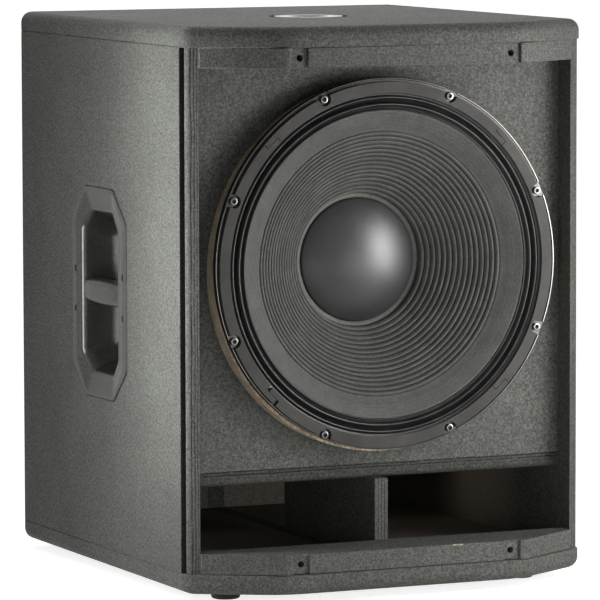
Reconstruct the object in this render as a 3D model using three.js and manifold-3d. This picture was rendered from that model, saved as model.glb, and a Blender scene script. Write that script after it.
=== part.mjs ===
import * as THREE from 'three';
import { mergeVertices } from 'three/addons/utils/BufferGeometryUtils.js';
import Module from 'manifold-3d';

// A passive 18 inch subwoofer cabinet with its front grille taken off.
// Sizes are millimetres, Z is up and the front faces -Y.
// Inside the body group x is 0 at the middle, y is 0 at the foremost point and z is 0 at the base board.

// Cabinet shell
const cabinetWidth = 534;
const cabinetDepth = 603;
const bodyHeight = 682;
const capThickness = 25;
const sideThickness = 18;
const rearThickness = 18;
const frontFacetWidth = 322;
const sideFacetSetback = 63;
const edgeRound = 14;
const cornerRound = 15;
const seam = 0.3;

// Front edges of the side boards, where the grille folds round
const sideFrontSetback = 5;
const sideRecess = 5;
const grilleSlotSetback = 70.6;
const grilleSlotWidth = 4;
const grilleSlotDepth = 8;

// Battens that carry the grille
const battenHeight = 24.5;
const battenDepth = 76;
const battenSetback = 1;
const notchWidth = 20;
const notchDepth = 4;
const notchOffset = 141.5;
const grilleHoleOffset = 140.4;
const grilleHoleRadius = 3;
const grilleHoleDepth = 30;

// Baffle, port and brace
const baffleThickness = 18;
const driverMarginAbove = 41;
const driverMarginBelow = 17;
const driverMarginSide = 21;
const portHeight = 100;
const portLength = 256;
const shelfThickness = 18;
const shelfRound = 6;
const dividerThickness = 18;
const braceThickness = 18;
const braceHeight = 60;
const braceRearGap = 115;
const braceDrop = 107;

// Rubber feet
const footHeight = 12;
const footRadius = 19;
const footTipRadius = 16;
const footInset = 68;
const footSetback = 97;
const footWellRadius = 7;
const footWellDepth = 7;

// Driver frame, measured back from the foremost point
const flangeWidth = 19.5;
const flangeFront = 61;
const flangeThickness = 6;
const rimWidth = 2.4;
const rimHeight = 1.5;
const rimGapWidth = 17;
const spacerInset = 4.5;
const spacerThickness = 22.4;
const cutoutInset = 15;
const armWidth = 16;
const armCount = 8;
const armRoot = 7;
const armTip = 2;
const armClearance = 1.5;
const spiderSpacing = 12.8;
const ledgeInnerRadius = 84;
const hubRadius = 104;
const hubWall = 6;
const hubLength = 26;
const hubBoreRadius = 62;
const terminalWidth = 26;
const terminalHeight = 14;
const terminalDepth = 12;

// Gasket in four quarters with stepped joints
const gasketInset = 2.3;
const gasketWidth = 14.3;
const gasketThickness = 4.7;
const gasketQuarters = 4;
const gasketStepAngle = THREE.MathUtils.degToRad(2.4);
const pocketRadius = 8;

// Driver bolts
const boltCount = 8;
const boltInset = 8;
const boltHeadRadius = 4.8;
const boltHeadHeight = 3.5;
const boltShankRadius = 2.5;
const boltLength = 40;
const boltSocketRadius = 2.6;
const boltSocketDepth = 2.4;
const boltClearance = 0.3;

// Surround with two rolls
const surroundThickness = 1;
const surroundLip = 4;
const surroundSink = 1.3;
const rollInset = 1;
const rollSpan = 19;
const rollHeight = 5.5;
const rollCount = 2;

// Cone, dust cap and voice coil
const coneSink = 1.8;
const coneThickness = 2;
const coneSlopeShare = 1.38;
const coneFlareShare = 0.8916;
const ribCount = 15;
const coneBandWidth = 26.7;
const ribStart = 4.6;
const ribHeight = 1.1;
const dustCapRadius = 76;
const dustCapRise = 26;
const dustCapThickness = 1.2;
const coilRadius = 50.2;
const formerThickness = 1.2;
const formerReach = 7;
const formerTail = 6.4;
const windingThickness = 1;
const windingLength = 18.6;

// Spider
const spiderThickness = 0.9;
const spiderRadius = 97;
const spiderLip = 9;
const spiderWaveHeight = 2.4;
const spiderWaveCount = 3;

// Magnet system
const poleRadius = 48.8;
const poleVentRadius = 15;
const topPlateRadius = 100;
const topPlateThickness = 12;
const coilGap = 1;
const magnetRadius = 110;
const magnetInnerRadius = 60;
const magnetThickness = 38;
const backPlateRadius = 105;
const backPlateThickness = 14;

// Recessed side handles: each outline is an octagon with a width, a height, a flat top and a shoulder
const handleSetback = 328.5;
const handleHeight = 342;
const framePlate = { width: 175, height: 262, top: 90, shoulder: 182 };
const funnelMouth = { width: 134, height: 246, top: 84, shoulder: 170 };
const cupMouth = { width: 120, height: 201, top: 68, shoulder: 154 };
const cupFloor = { width: 104, height: 180, top: 60, shoulder: 138 };
const plateThickness = 5;
const plateProud = 1;
const funnelDepth = 5;
const cupDepth = 60;
const cupWall = 3;
const gripHeight = 27;
const gripSwell = 4.5;
const gripDepth = 24;
const gripSetback = 1.5;
const gripRound = 8;
const handleScrewAcross = 76.5;
const handleScrewUp = 25;
const handleScrewHeadRadius = 3.8;
const handleScrewHeadHeight = 1.6;
const handleScrewRecess = 3.4;
const handleScrewShankRadius = 2;
const handleScrewLength = 15;
const screwClearance = 0.3;

// Pole socket in the top
const socketSetback = 288;
const socketPlateRadius = 50;
const socketPlateThickness = 3;
const socketTubeRadius = 21;
const socketBoreRadius = 18;
const socketDepth = 90;
const socketFloor = 3;
const socketScrewCircle = 39;
const socketScrewCount = 4;
const socketScrewHeadRadius = 4;
const socketScrewShankRadius = 2;
const socketScrewLength = 18;

// Input panel in the back
const inputHeight = 178;
const inputWidth = 150;
const inputTall = 110;
const inputPlateThickness = 3;
const inputCornerRound = 8;
const dishWidth = 104;
const dishTall = 66;
const dishDepth = 34;
const dishWall = 3;
const speakerSocketSpacing = 46;
const speakerFlangeRadius = 16;
const speakerFlangeThickness = 2.5;
const speakerBarrelRadius = 12.5;
const speakerBarrelLength = 22;
const speakerWellRadius = 10.4;
const speakerCoreRadius = 6.6;
const speakerWellDepth = 15;
const inputScrewAcross = 64;
const inputScrewUp = 44;
const inputScrewHeadRadius = 3.6;
const inputScrewSink = 2;
const inputScrewShankRadius = 1.8;
const inputScrewLength = 16;

// Lead from the input panel to the driver
const leadRadius = 3.5;
const leadStraight = 8;
const leadSag = 12;
const leadBend = 30;
const leadSteps = 24;

// How finely curves are cut into facets
const roundSteps = 44;
const hiddenSteps = 32;
const smallSteps = 20;
const boltSteps = 8;
const socketSides = 6;
const cornerSteps = 4;
const facetSteps = 2;
const edgeSteps = 4;
const rollSteps = 4;
const coneRows = 3;
const domeRows = 4;
const gripStations = 6;
const leadSides = 6;
const weldDistance = 0.0005;
const overrun = 5;

// Sizes that follow from the ones above
const halfWidth = cabinetWidth / 2;
const innerHalf = halfWidth - sideThickness - seam;
const facetHalf = frontFacetWidth / 2;
const rearFront = cabinetDepth - rearThickness;
const upperCapBase = bodyHeight - capThickness;
const shelfBase = capThickness + portHeight;
const shelfTop = shelfBase + shelfThickness;
const flangeBack = flangeFront + flangeThickness;
const baffleSetback = flangeBack + spacerThickness + 2 * seam;
const shelfEnd = baffleSetback + portLength;
const braceSetback = rearFront - braceRearGap - braceThickness;
const braceBase = upperCapBase - braceDrop - braceHeight;

// The driver fills the room that its margins leave on the baffle
const roomAcross = cabinetWidth - 2 * sideThickness - 2 * driverMarginSide;
const roomUp = upperCapBase - shelfTop - driverMarginAbove - driverMarginBelow;
const flangeRadius = Math.min(roomAcross, roomUp) / 2;
const driverHeight = shelfTop + driverMarginBelow + flangeRadius;
const flangeInnerRadius = flangeRadius - flangeWidth;
const driverCutoutRadius = flangeRadius - cutoutInset;
const spacerRadius = flangeRadius - spacerInset;
const armReach = driverCutoutRadius - armClearance;
const boltCircleRadius = flangeRadius - boltInset;
const gasketRadius = flangeRadius - rimWidth - gasketInset;
const gasketInnerRadius = gasketRadius - gasketWidth;
const gasketBack = flangeFront - seam;
const gasketFront = gasketBack - gasketThickness;
const rollOuterRadius = gasketInnerRadius - rollInset;
const surroundInner = rollOuterRadius - rollSpan;
const surroundOuter = gasketInnerRadius + surroundLip;
const surroundValley = flangeFront + surroundSink;
const coneRadius = surroundInner - seam;
const coneFront = flangeFront + coneSink;
const ribOuterRadius = coneRadius - coneBandWidth;
const ribInnerRadius = dustCapRadius + ribStart;
const formerRadius = coilRadius + formerThickness;
const neckRadius = formerRadius + seam;
const spiderLedge = coneDepth(neckRadius) + spiderSpacing;
const hubBack = spiderLedge + hubLength;
const topPlateFront = hubBack + seam;
const magnetFront = topPlateFront + topPlateThickness + seam;
const backPlateFront = magnetFront + magnetThickness + seam;
const windingStart = topPlateFront + (topPlateThickness - windingLength) / 2;
const formerFront = coneDepth(neckRadius) - formerReach;
const formerEnd = windingStart + windingLength + formerTail;
const boltHeadFront = flangeFront - seam - boltHeadHeight;
const dishHeight = inputHeight;
const dishFloorFront = cabinetDepth - dishDepth;

const paintedBlack = { color: 0x3b3c3a, roughness: 0.75, metalness: 0 };
const bareWood = { color: 0x6b5a41, roughness: 0.85, metalness: 0 };
const rubberBlack = { color: 0x161616, roughness: 0.9, metalness: 0 };
const plasticBlack = { color: 0x2c2d2b, roughness: 0.5, metalness: 0 };
const paperGrey = { color: 0x3f403e, roughness: 0.85, metalness: 0 };
const clothGrey = { color: 0x333432, roughness: 0.7, metalness: 0 };
const gasketGrey = { color: 0x4d4946, roughness: 0.9, metalness: 0 };
const castAluminium = { color: 0xb9b9b6, roughness: 0.35, metalness: 1 };
const brightSteel = { color: 0xc9c9c7, roughness: 0.25, metalness: 1 };
const darkSteel = { color: 0x4a4b4c, roughness: 0.5, metalness: 0.8 };
const ferrite = { color: 0x2a2a2c, roughness: 0.8, metalness: 0.1 };
const copperBrown = { color: 0x8a5a34, roughness: 0.6, metalness: 0.3 };

const wasm = await Module();
wasm.setup();

function signedVolume(geometry) {
  const place = geometry.getAttribute('position');
  const [a, b, c] = [new THREE.Vector3(), new THREE.Vector3(), new THREE.Vector3()];
  let total = 0;
  for (let i = 0; i < geometry.index.count; i += 3) {
    a.fromBufferAttribute(place, geometry.index.getX(i));
    b.fromBufferAttribute(place, geometry.index.getX(i + 1));
    c.fromBufferAttribute(place, geometry.index.getX(i + 2));
    total += a.dot(b.cross(c));
  }
  return total;
}

// Shares corners, drops empty triangles and turns every face outward
function weld(geometry) {
  const bare = geometry.clone();
  bare.deleteAttribute('normal');
  bare.deleteAttribute('uv');
  const merged = mergeVertices(bare, weldDistance);
  const kept = [];
  for (let i = 0; i < merged.index.count; i += 3) {
    const corners = Array.from({ length: 3 }, (_, k) => merged.index.getX(i + k));
    if (new Set(corners).size === corners.length) kept.push(corners);
  }
  merged.setIndex(kept.flat());
  if (signedVolume(merged) < 0) {
    merged.setIndex(kept.map(([a, b, c]) => [a, c, b]).flat());
  }
  merged.computeVertexNormals();
  return merged;
}

function toSolid(geometry) {
  const welded = weld(geometry);
  const vertProperties = new Float32Array(welded.getAttribute('position').array);
  const triVerts = new Uint32Array(welded.index.array);
  return new wasm.Manifold(new wasm.Mesh({ numProp: 3, vertProperties, triVerts }));
}

function toGeometry(solid) {
  const mesh = solid.getMesh();
  const geometry = new THREE.BufferGeometry();
  geometry.setAttribute('position', new THREE.BufferAttribute(new Float32Array(mesh.vertProperties), 3));
  geometry.setIndex(new THREE.BufferAttribute(new Uint32Array(mesh.triVerts), 1));
  geometry.computeVertexNormals();
  return geometry;
}

function cut(base, ...tools) {
  return toGeometry(tools.reduce((solid, tool) => solid.subtract(toSolid(tool)), toSolid(base)));
}

function join(...pieces) {
  const [first, ...others] = pieces.map(toSolid);
  return toGeometry(others.reduce((solid, other) => solid.add(other), first));
}

function circle(radius, steps, x = 0, y = 0) {
  return Array.from({ length: steps }, (_, i) => {
    const angle = (i / steps) * 2 * Math.PI;
    return new THREE.Vector2(x + radius * Math.cos(angle), y + radius * Math.sin(angle));
  });
}

// Turns a drawing plane and its thickness direction onto the axes of the cabinet
const planes = {
  x: new THREE.Matrix4().makeBasis(
    new THREE.Vector3(0, 1, 0),
    new THREE.Vector3(0, 0, 1),
    new THREE.Vector3(1, 0, 0),
  ),
  y: new THREE.Matrix4().makeBasis(
    new THREE.Vector3(1, 0, 0),
    new THREE.Vector3(0, 0, 1),
    new THREE.Vector3(0, -1, 0),
  ),
  z: new THREE.Matrix4(),
};

// A board with the given outline, between two places along one axis
function board(outline, axis, low, high, holes = []) {
  const shape = new THREE.Shape(outline);
  shape.holes = holes.map((hole) => new THREE.Path(hole));
  const geometry = new THREE.ExtrudeGeometry(shape, { depth: high - low, bevelEnabled: false });
  geometry.translate(0, 0, axis === 'y' ? -high : low);
  geometry.applyMatrix4(planes[axis]);
  return weld(geometry);
}

function rectangle(left, right, low, high) {
  return [
    new THREE.Vector2(left, low),
    new THREE.Vector2(right, low),
    new THREE.Vector2(right, high),
    new THREE.Vector2(left, high),
  ];
}

function block(left, right, front, back, low, high) {
  return board(rectangle(left, right, front, back), 'z', low, high);
}

// A round rod along one axis, centred at two places on the other axes
function rod(radius, steps, axis, low, high, first, second) {
  return board(circle(radius, steps, first, second), axis, low, high);
}

// A body turned about the Y axis from [radius, y] points
function turned(profile, steps) {
  const points = profile.map(([radius, y]) => new THREE.Vector2(radius, y));
  const onAxis = points[0].x === 0 && points.at(-1).x === 0;
  if (!onAxis) points.push(points[0].clone());
  return weld(new THREE.LatheGeometry(points, steps));
}

function turnedUpright(profile, steps) {
  const geometry = turned(profile, steps);
  geometry.rotateX(Math.PI / 2);
  return geometry;
}

// A closed skin over rings of points that all have the same count
function loft(rings) {
  const count = rings[0].length;
  const last = (rings.length - 1) * count;
  const index = [];
  for (let a = 0; a < last; a += 1) {
    const b = (a % count) + 1 === count ? a + 1 - count : a + 1;
    index.push(a, b, a + count, b, b + count, a + count);
  }
  for (let i = 1; i + 1 < count; i += 1) {
    index.push(0, i + 1, i, last, last + i, last + i + 1);
  }
  const geometry = new THREE.BufferGeometry().setFromPoints(rings.flat());
  geometry.setIndex(index);
  return weld(geometry);
}

// The outline of a convex board with rounded corners, drawn in by an inset
function roundedOutline(corners, inset = 0) {
  return corners.flatMap(({ x, y, radius, steps }, i) => {
    const here = new THREE.Vector2(x, y);
    const before = corners.at(i - 1);
    const after = corners[(i + 1) % corners.length];
    const arriving = here.clone().sub(new THREE.Vector2(before.x, before.y)).normalize();
    const leaving = new THREE.Vector2(after.x, after.y).sub(here).normalize();
    const start = new THREE.Vector2(arriving.y, -arriving.x);
    const end = new THREE.Vector2(leaving.y, -leaving.x);
    const reach = radius / (1 + start.dot(end));
    const centre = here.clone().sub(start.clone().add(end).multiplyScalar(reach));
    const turn = Math.acos(start.dot(end));
    return Array.from({ length: steps + 1 }, (_, k) => {
      const angle = start.angle() + (turn * k) / steps;
      const away = radius - inset;
      return new THREE.Vector2(centre.x + away * Math.cos(angle), centre.y + away * Math.sin(angle));
    });
  });
}

// How far back the faceted front lies at a distance from the middle
function facetSetback(x) {
  return ((Math.abs(x) - facetHalf) / (halfWidth - facetHalf)) * sideFacetSetback;
}

function capCorners() {
  return [
    { x: -facetHalf, y: 0, radius: cornerRound, steps: facetSteps },
    { x: facetHalf, y: 0, radius: cornerRound, steps: facetSteps },
    { x: halfWidth, y: sideFacetSetback, radius: cornerRound, steps: cornerSteps },
    { x: halfWidth, y: cabinetDepth, radius: cornerRound, steps: cornerSteps },
    { x: -halfWidth, y: cabinetDepth, radius: cornerRound, steps: cornerSteps },
    { x: -halfWidth, y: sideFacetSetback, radius: cornerRound, steps: cornerSteps },
  ];
}

// A top or base board, rounded over on its outer side
function capBoard(innerFace, outward) {
  const corners = capCorners();
  const ringAt = (inset, rise) =>
    roundedOutline(corners, inset).map((p) => new THREE.Vector3(p.x, p.y, innerFace + outward * rise));
  const rings = [ringAt(0, 0)];
  for (let k = 0; k <= edgeSteps; k += 1) {
    const angle = ((k / edgeSteps) * Math.PI) / 2;
    const inset = edgeRound * (1 - Math.cos(angle));
    rings.push(ringAt(inset, capThickness - edgeRound + edgeRound * Math.sin(angle)));
  }
  return loft(rings);
}

function topPanel() {
  const plate = rod(
    socketPlateRadius + seam,
    smallSteps,
    'z',
    bodyHeight - socketPlateThickness - seam,
    bodyHeight + overrun,
    0,
    socketSetback,
  );
  const tube = rod(
    socketTubeRadius + seam,
    smallSteps,
    'z',
    upperCapBase - overrun,
    bodyHeight,
    0,
    socketSetback,
  );
  const pilots = ringOfPlaces(socketScrewCount, socketScrewCircle).map((place) =>
    rod(
      socketScrewShankRadius + screwClearance,
      boltSteps,
      'z',
      bodyHeight - socketScrewLength - seam,
      bodyHeight,
      place.x,
      socketSetback + place.y,
    ),
  );
  return cut(capBoard(upperCapBase, 1), plate, tube, ...pilots);
}

// Places spread evenly on a circle, half a step from the first axis
function ringOfPlaces(count, radius) {
  return Array.from({ length: count }, (_, i) => {
    const angle = ((i + 1 / 2) / count) * 2 * Math.PI;
    return new THREE.Vector2(radius * Math.cos(angle), radius * Math.sin(angle));
  });
}

function octagon({ width, height, top, shoulder }, grow = 0) {
  const side = width / 2 + grow;
  const end = height / 2 + grow;
  const flat = top / 2 + grow / 2;
  const bend = shoulder / 2 + grow / 2;
  return [
    new THREE.Vector2(side, -bend),
    new THREE.Vector2(side, bend),
    new THREE.Vector2(flat, end),
    new THREE.Vector2(-flat, end),
    new THREE.Vector2(-side, bend),
    new THREE.Vector2(-side, -bend),
    new THREE.Vector2(-flat, -end),
    new THREE.Vector2(flat, -end),
  ];
}

// An octagonal ring at a depth behind the outer face of the side board
function octagonAt(size, depth, grow = 0) {
  return octagon(size, grow).map((p) => new THREE.Vector3(-depth, p.x, p.y));
}

function handleScrewPlaces() {
  return [-1, 1].flatMap((across) =>
    [-1, 1].map((up) => new THREE.Vector2(across * handleScrewAcross, up * handleScrewUp)),
  );
}

// Everything that a handle takes out of its side board, with the outer face at x 0
function handleOpening() {
  const through = loft([
    octagonAt(funnelMouth, -overrun, cupWall + seam),
    octagonAt(funnelMouth, sideThickness + overrun, cupWall + seam),
  ]);
  const rebate = loft([
    octagonAt(framePlate, -overrun, seam),
    octagonAt(framePlate, plateThickness - plateProud + seam, seam),
  ]);
  const pilots = handleScrewPlaces().map((place) =>
    rod(
      handleScrewShankRadius + screwClearance,
      boltSteps,
      'x',
      -sideThickness + seam,
      0,
      place.x,
      place.y,
    ),
  );
  return [through, rebate, ...pilots];
}

// One side board, drawn for the right side
function sidePanel(side) {
  const inner = halfWidth - sideThickness;
  const recessed = halfWidth - sideRecess;
  const slotFloor = recessed - grilleSlotDepth;
  const slotBack = grilleSlotSetback + grilleSlotWidth;
  const rearCorner = roundedOutline([
    { x: inner, y: cabinetDepth - cornerRound - overrun, radius: 0, steps: 1 },
    { x: halfWidth, y: cabinetDepth - cornerRound - overrun, radius: 0, steps: 1 },
    { x: halfWidth, y: cabinetDepth, radius: cornerRound, steps: cornerSteps },
    { x: inner, y: cabinetDepth, radius: 0, steps: 1 },
  ]).filter((p) => p.y > cabinetDepth - cornerRound - overrun / 2);
  const outline = [
    new THREE.Vector2(inner, facetSetback(inner) + sideFrontSetback),
    new THREE.Vector2(recessed, facetSetback(recessed) + sideFrontSetback),
    new THREE.Vector2(recessed, grilleSlotSetback),
    new THREE.Vector2(slotFloor, grilleSlotSetback),
    new THREE.Vector2(slotFloor, slotBack),
    new THREE.Vector2(halfWidth, slotBack),
    ...rearCorner,
  ];
  const place = new THREE.Matrix4().makeRotationZ(side > 0 ? 0 : Math.PI);
  place.setPosition(side * halfWidth, handleSetback, handleHeight);
  const opening = handleOpening().map((tool) => tool.applyMatrix4(place));
  const mirrored = outline.map((p) => new THREE.Vector2(side * p.x, p.y));
  return cut(board(mirrored, 'z', capThickness + seam, upperCapBase - seam), ...opening);
}

function rearPanel() {
  const plate = inputOutline(inputWidth + 2 * seam, inputTall + 2 * seam);
  const dish = rectangle(
    -dishWidth / 2 - dishWall - seam,
    dishWidth / 2 + dishWall + seam,
    dishHeight - dishTall / 2 - dishWall - seam,
    dishHeight + dishTall / 2 + dishWall + seam,
  );
  const pilots = inputScrewPlaces().map((place) =>
    rod(
      inputScrewShankRadius + screwClearance,
      boltSteps,
      'y',
      cabinetDepth - inputScrewLength - seam,
      cabinetDepth,
      place.x,
      inputHeight + place.y,
    ),
  );
  return cut(
    block(-innerHalf, innerHalf, rearFront, cabinetDepth, capThickness + seam, upperCapBase - seam),
    board(plate, 'y', cabinetDepth - inputPlateThickness - seam, cabinetDepth + overrun),
    board(dish, 'y', rearFront - overrun, cabinetDepth),
    ...pilots,
  );
}

function baffle() {
  const face = board(
    rectangle(-innerHalf, innerHalf, shelfTop + seam, upperCapBase - seam),
    'y',
    baffleSetback,
    baffleSetback + baffleThickness,
    [circle(driverCutoutRadius, roundSteps, 0, driverHeight)],
  );
  const holes = boltHoles().map((hole) => hole.translate(0, 0, driverHeight));
  return cut(face, ...holes);
}

// Clearance holes for the driver bolts, around a driver centred at z 0
function boltHoles() {
  return ringOfPlaces(boltCount, boltCircleRadius).map((place) =>
    rod(boltShankRadius + boltClearance, boltSteps, 'y', 0, cabinetDepth, place.x, place.y),
  );
}

// A faceted strip with two shallow notches and screw holes for the grille
function grilleBatten() {
  const end = facetSetback(innerHalf) + battenSetback;
  const outline = [
    new THREE.Vector2(-facetHalf, battenSetback),
    new THREE.Vector2(facetHalf, battenSetback),
    new THREE.Vector2(innerHalf, end),
    new THREE.Vector2(innerHalf, battenDepth),
    new THREE.Vector2(-innerHalf, battenDepth),
    new THREE.Vector2(-innerHalf, end),
  ];
  const tools = [-1, 1].flatMap((side) => {
    const middle = side * notchOffset;
    const hole = side * grilleHoleOffset;
    return [
      block(
        middle - notchWidth / 2,
        middle + notchWidth / 2,
        -overrun,
        battenSetback + notchDepth,
        -overrun,
        battenHeight + overrun,
      ),
      rod(grilleHoleRadius, boltSteps, 'y', 0, grilleHoleDepth, hole, battenHeight / 2),
    ];
  });
  return cut(board(outline, 'z', 0, battenHeight), ...tools);
}

// The board over the ports, eased on its lower front edge
function portShelf() {
  const eased = Array.from({ length: cornerSteps + 1 }, (_, k) => {
    const angle = ((k / cornerSteps) * Math.PI) / 2;
    return new THREE.Vector2(
      baffleSetback + shelfRound * (1 - Math.cos(angle)),
      shelfBase + shelfRound * (1 - Math.sin(angle)),
    );
  });
  const outline = [
    new THREE.Vector2(baffleSetback, shelfTop),
    ...eased,
    new THREE.Vector2(shelfEnd, shelfBase),
    new THREE.Vector2(shelfEnd, shelfTop),
  ];
  return board(outline, 'x', -innerHalf, innerHalf);
}

function portDivider() {
  return block(
    -dividerThickness / 2,
    dividerThickness / 2,
    battenDepth + seam,
    shelfEnd,
    capThickness + seam,
    shelfBase - seam,
  );
}

function crossBrace() {
  return block(
    -innerHalf,
    innerHalf,
    braceSetback,
    braceSetback + braceThickness,
    braceBase,
    braceBase + braceHeight,
  );
}

function foot() {
  return turnedUpright(
    [
      [0, -seam],
      [footRadius, -seam],
      [footRadius, -footHeight / 2],
      [footTipRadius, -footHeight],
      [footWellRadius, -footHeight],
      [footWellRadius, -footHeight + footWellDepth],
      [0, -footHeight + footWellDepth],
    ],
    smallSteps,
  );
}

function spacerRing() {
  const front = flangeBack + seam;
  const back = front + spacerThickness;
  const ring = turned(
    [
      [driverCutoutRadius, front],
      [spacerRadius, front],
      [spacerRadius, back],
      [driverCutoutRadius, back],
    ],
    roundSteps,
  );
  return cut(ring, ...boltHoles());
}

// One casting: outer flange with a bright raised rim, arms, and a hub that carries spider and magnet
function driverFrame() {
  const rimFront = flangeFront - rimHeight;
  const seat = flangeFront + surroundThickness + seam;
  const flange = turned(
    [
      [flangeInnerRadius, seat],
      [surroundOuter + seam, seat],
      [surroundOuter + seam, flangeFront],
      [flangeRadius - rimWidth, flangeFront],
      [flangeRadius - rimWidth, rimFront],
      [flangeRadius, rimFront],
      [flangeRadius, flangeBack],
      [flangeInnerRadius - armRoot, flangeBack],
      [flangeInnerRadius - armRoot, flangeBack - hubWall / 2],
      [flangeInnerRadius, flangeBack - hubWall / 2],
    ],
    roundSteps,
  );
  const hub = turned(
    [
      [ledgeInnerRadius, spiderLedge],
      [hubRadius, spiderLedge],
      [hubRadius, hubBack],
      [hubBoreRadius, hubBack],
      [hubBoreRadius, hubBack - hubWall],
      [hubRadius - hubWall, hubBack - hubWall],
      [hubRadius - hubWall, spiderLedge + hubWall],
      [ledgeInnerRadius, spiderLedge + hubWall],
    ],
    smallSteps,
  );
  const arm = board(
    [
      new THREE.Vector2(flangeInnerRadius - armRoot + seam, flangeBack - seam),
      new THREE.Vector2(armReach, flangeBack - seam),
      new THREE.Vector2(armReach, baffleSetback),
      new THREE.Vector2(hubRadius - seam, spiderLedge + hubLength / 2),
      new THREE.Vector2(hubRadius - armTip, spiderLedge + seam),
    ],
    'z',
    -armWidth / 2,
    armWidth / 2,
  );
  const arms = Array.from({ length: armCount }, (_, i) =>
    arm.clone().rotateY((i / armCount) * 2 * Math.PI),
  );
  const terminal = block(
    -terminalWidth / 2,
    terminalWidth / 2,
    hubBack - terminalDepth,
    hubBack,
    -hubRadius - terminalHeight,
    -hubRadius + hubWall / 2,
  );
  const places = ringOfPlaces(boltCount, boltCircleRadius);
  const rimGaps = places.map((place) => {
    const gap = block(
      gasketRadius,
      flangeRadius + overrun,
      rimFront - overrun,
      flangeFront,
      -rimGapWidth / 2,
      rimGapWidth / 2,
    );
    return gap.rotateY(-place.angle());
  });
  return cut(join(flange, hub, terminal, ...arms), ...boltHoles(), ...rimGaps);
}

// A quarter of the gasket: the outer half of each joint is stepped past the inner half
function gasketQuarter() {
  const half = Math.PI / gasketQuarters;
  const middle = (gasketRadius + gasketInnerRadius) / 2;
  const steps = Math.round(roundSteps / gasketQuarters);
  const arc = (radius, from, to) =>
    Array.from({ length: steps + 1 }, (_, i) => {
      const angle = from + ((to - from) * i) / steps;
      return new THREE.Vector2(radius * Math.cos(angle), radius * Math.sin(angle));
    });
  const at = (radius, angle) => new THREE.Vector2(radius * Math.cos(angle), radius * Math.sin(angle));
  const shy = seam / gasketRadius;
  const outerStart = -half + gasketStepAngle + shy;
  const outerEnd = half + gasketStepAngle - shy;
  const innerStart = -half - gasketStepAngle + shy;
  const innerEnd = half - gasketStepAngle - shy;
  const outline = [
    ...arc(gasketRadius, outerStart, outerEnd),
    at(middle + seam / 2, outerEnd),
    at(middle + seam / 2, innerEnd),
    ...arc(gasketInnerRadius, innerEnd, innerStart),
    at(middle - seam / 2, innerStart),
    at(middle - seam / 2, outerStart),
  ];
  const pockets = ringOfPlaces(boltCount, boltCircleRadius).flatMap((place) => {
    const slot = block(0, boltInset + overrun, 0, cabinetDepth, -pocketRadius, pocketRadius);
    slot.rotateY(-place.angle());
    slot.translate(place.x, 0, place.y);
    return [rod(pocketRadius, smallSteps, 'y', 0, cabinetDepth, place.x, place.y), slot];
  });
  return cut(board(outline, 'y', gasketFront, gasketBack), ...pockets);
}

// A cap screw along Y with a six-sided socket, its head's front face at y 0
function capScrew() {
  const head = rod(boltHeadRadius, boltSteps, 'y', 0, boltHeadHeight, 0, 0);
  const shank = rod(boltShankRadius, boltSteps, 'y', boltHeadHeight - seam, boltLength, 0, 0);
  const socket = rod(boltSocketRadius, socketSides, 'y', -overrun, boltSocketDepth, 0, 0);
  return cut(join(head, shank), socket);
}

function surround() {
  const width = rollOuterRadius - surroundInner;
  const steps = rollCount * rollSteps;
  const front = Array.from({ length: steps + 1 }, (_, i) => {
    const wave = Math.abs(Math.sin((rollCount * Math.PI * i) / steps));
    return [surroundInner + (width * i) / steps, surroundValley - rollHeight * wave];
  });
  front[steps][1] = flangeFront;
  front.push([surroundOuter, flangeFront]);
  const back = front.map(([radius, y]) => [radius, y + surroundThickness]).reverse();
  return turned([...front, ...back], roundSteps);
}

// Depth of the cone's front face at a radius: steep at the neck and flatter at the edge
function coneDepth(radius) {
  const share = radius / coneRadius;
  const fall = coneSlopeShare * (1 - share) - (coneFlareShare / 2) * (1 - share * share);
  return coneFront + coneRadius * fall;
}

function cone() {
  const band = (coneRadius + ribOuterRadius) / 2;
  const pitch = (ribOuterRadius - ribInnerRadius) / ribCount;
  const ribs = Array.from({ length: ribCount }, (_, i) => {
    const valley = ribInnerRadius + pitch * i;
    const crest = valley + pitch / 2;
    return [
      [valley, coneDepth(valley)],
      [crest, coneDepth(crest) - ribHeight],
    ];
  }).flat();
  const front = [
    [neckRadius, coneDepth(neckRadius)],
    ...ribs,
    [ribOuterRadius, coneDepth(ribOuterRadius)],
    [band, coneDepth(band)],
    [coneRadius, coneDepth(coneRadius)],
  ];
  const back = Array.from({ length: coneRows + 1 }, (_, i) => {
    const radius = coneRadius + ((neckRadius - coneRadius) * i) / coneRows;
    return [radius, coneDepth(radius) + coneThickness];
  });
  return turned([...front, ...back], roundSteps);
}

function dustCap() {
  const edge = coneDepth(dustCapRadius) - seam;
  const curve = (dustCapRadius ** 2 + dustCapRise ** 2) / (2 * dustCapRise);
  const dome = Array.from({ length: domeRows + 1 }, (_, i) => {
    const radius = (dustCapRadius * i) / domeRows;
    const drop = curve - Math.sqrt(curve ** 2 - radius ** 2);
    return [radius, edge - dustCapThickness - dustCapRise + drop];
  });
  const inner = dome.map(([radius, y]) => [radius, y + dustCapThickness]).reverse();
  return turned([...dome, ...inner], roundSteps);
}

function voiceCoil() {
  const winding = formerRadius + windingThickness;
  return turned(
    [
      [coilRadius, formerFront],
      [formerRadius, formerFront],
      [formerRadius, windingStart],
      [winding, windingStart],
      [winding, windingStart + windingLength],
      [formerRadius, windingStart + windingLength],
      [formerRadius, formerEnd],
      [coilRadius, formerEnd],
    ],
    hiddenSteps,
  );
}

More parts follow.
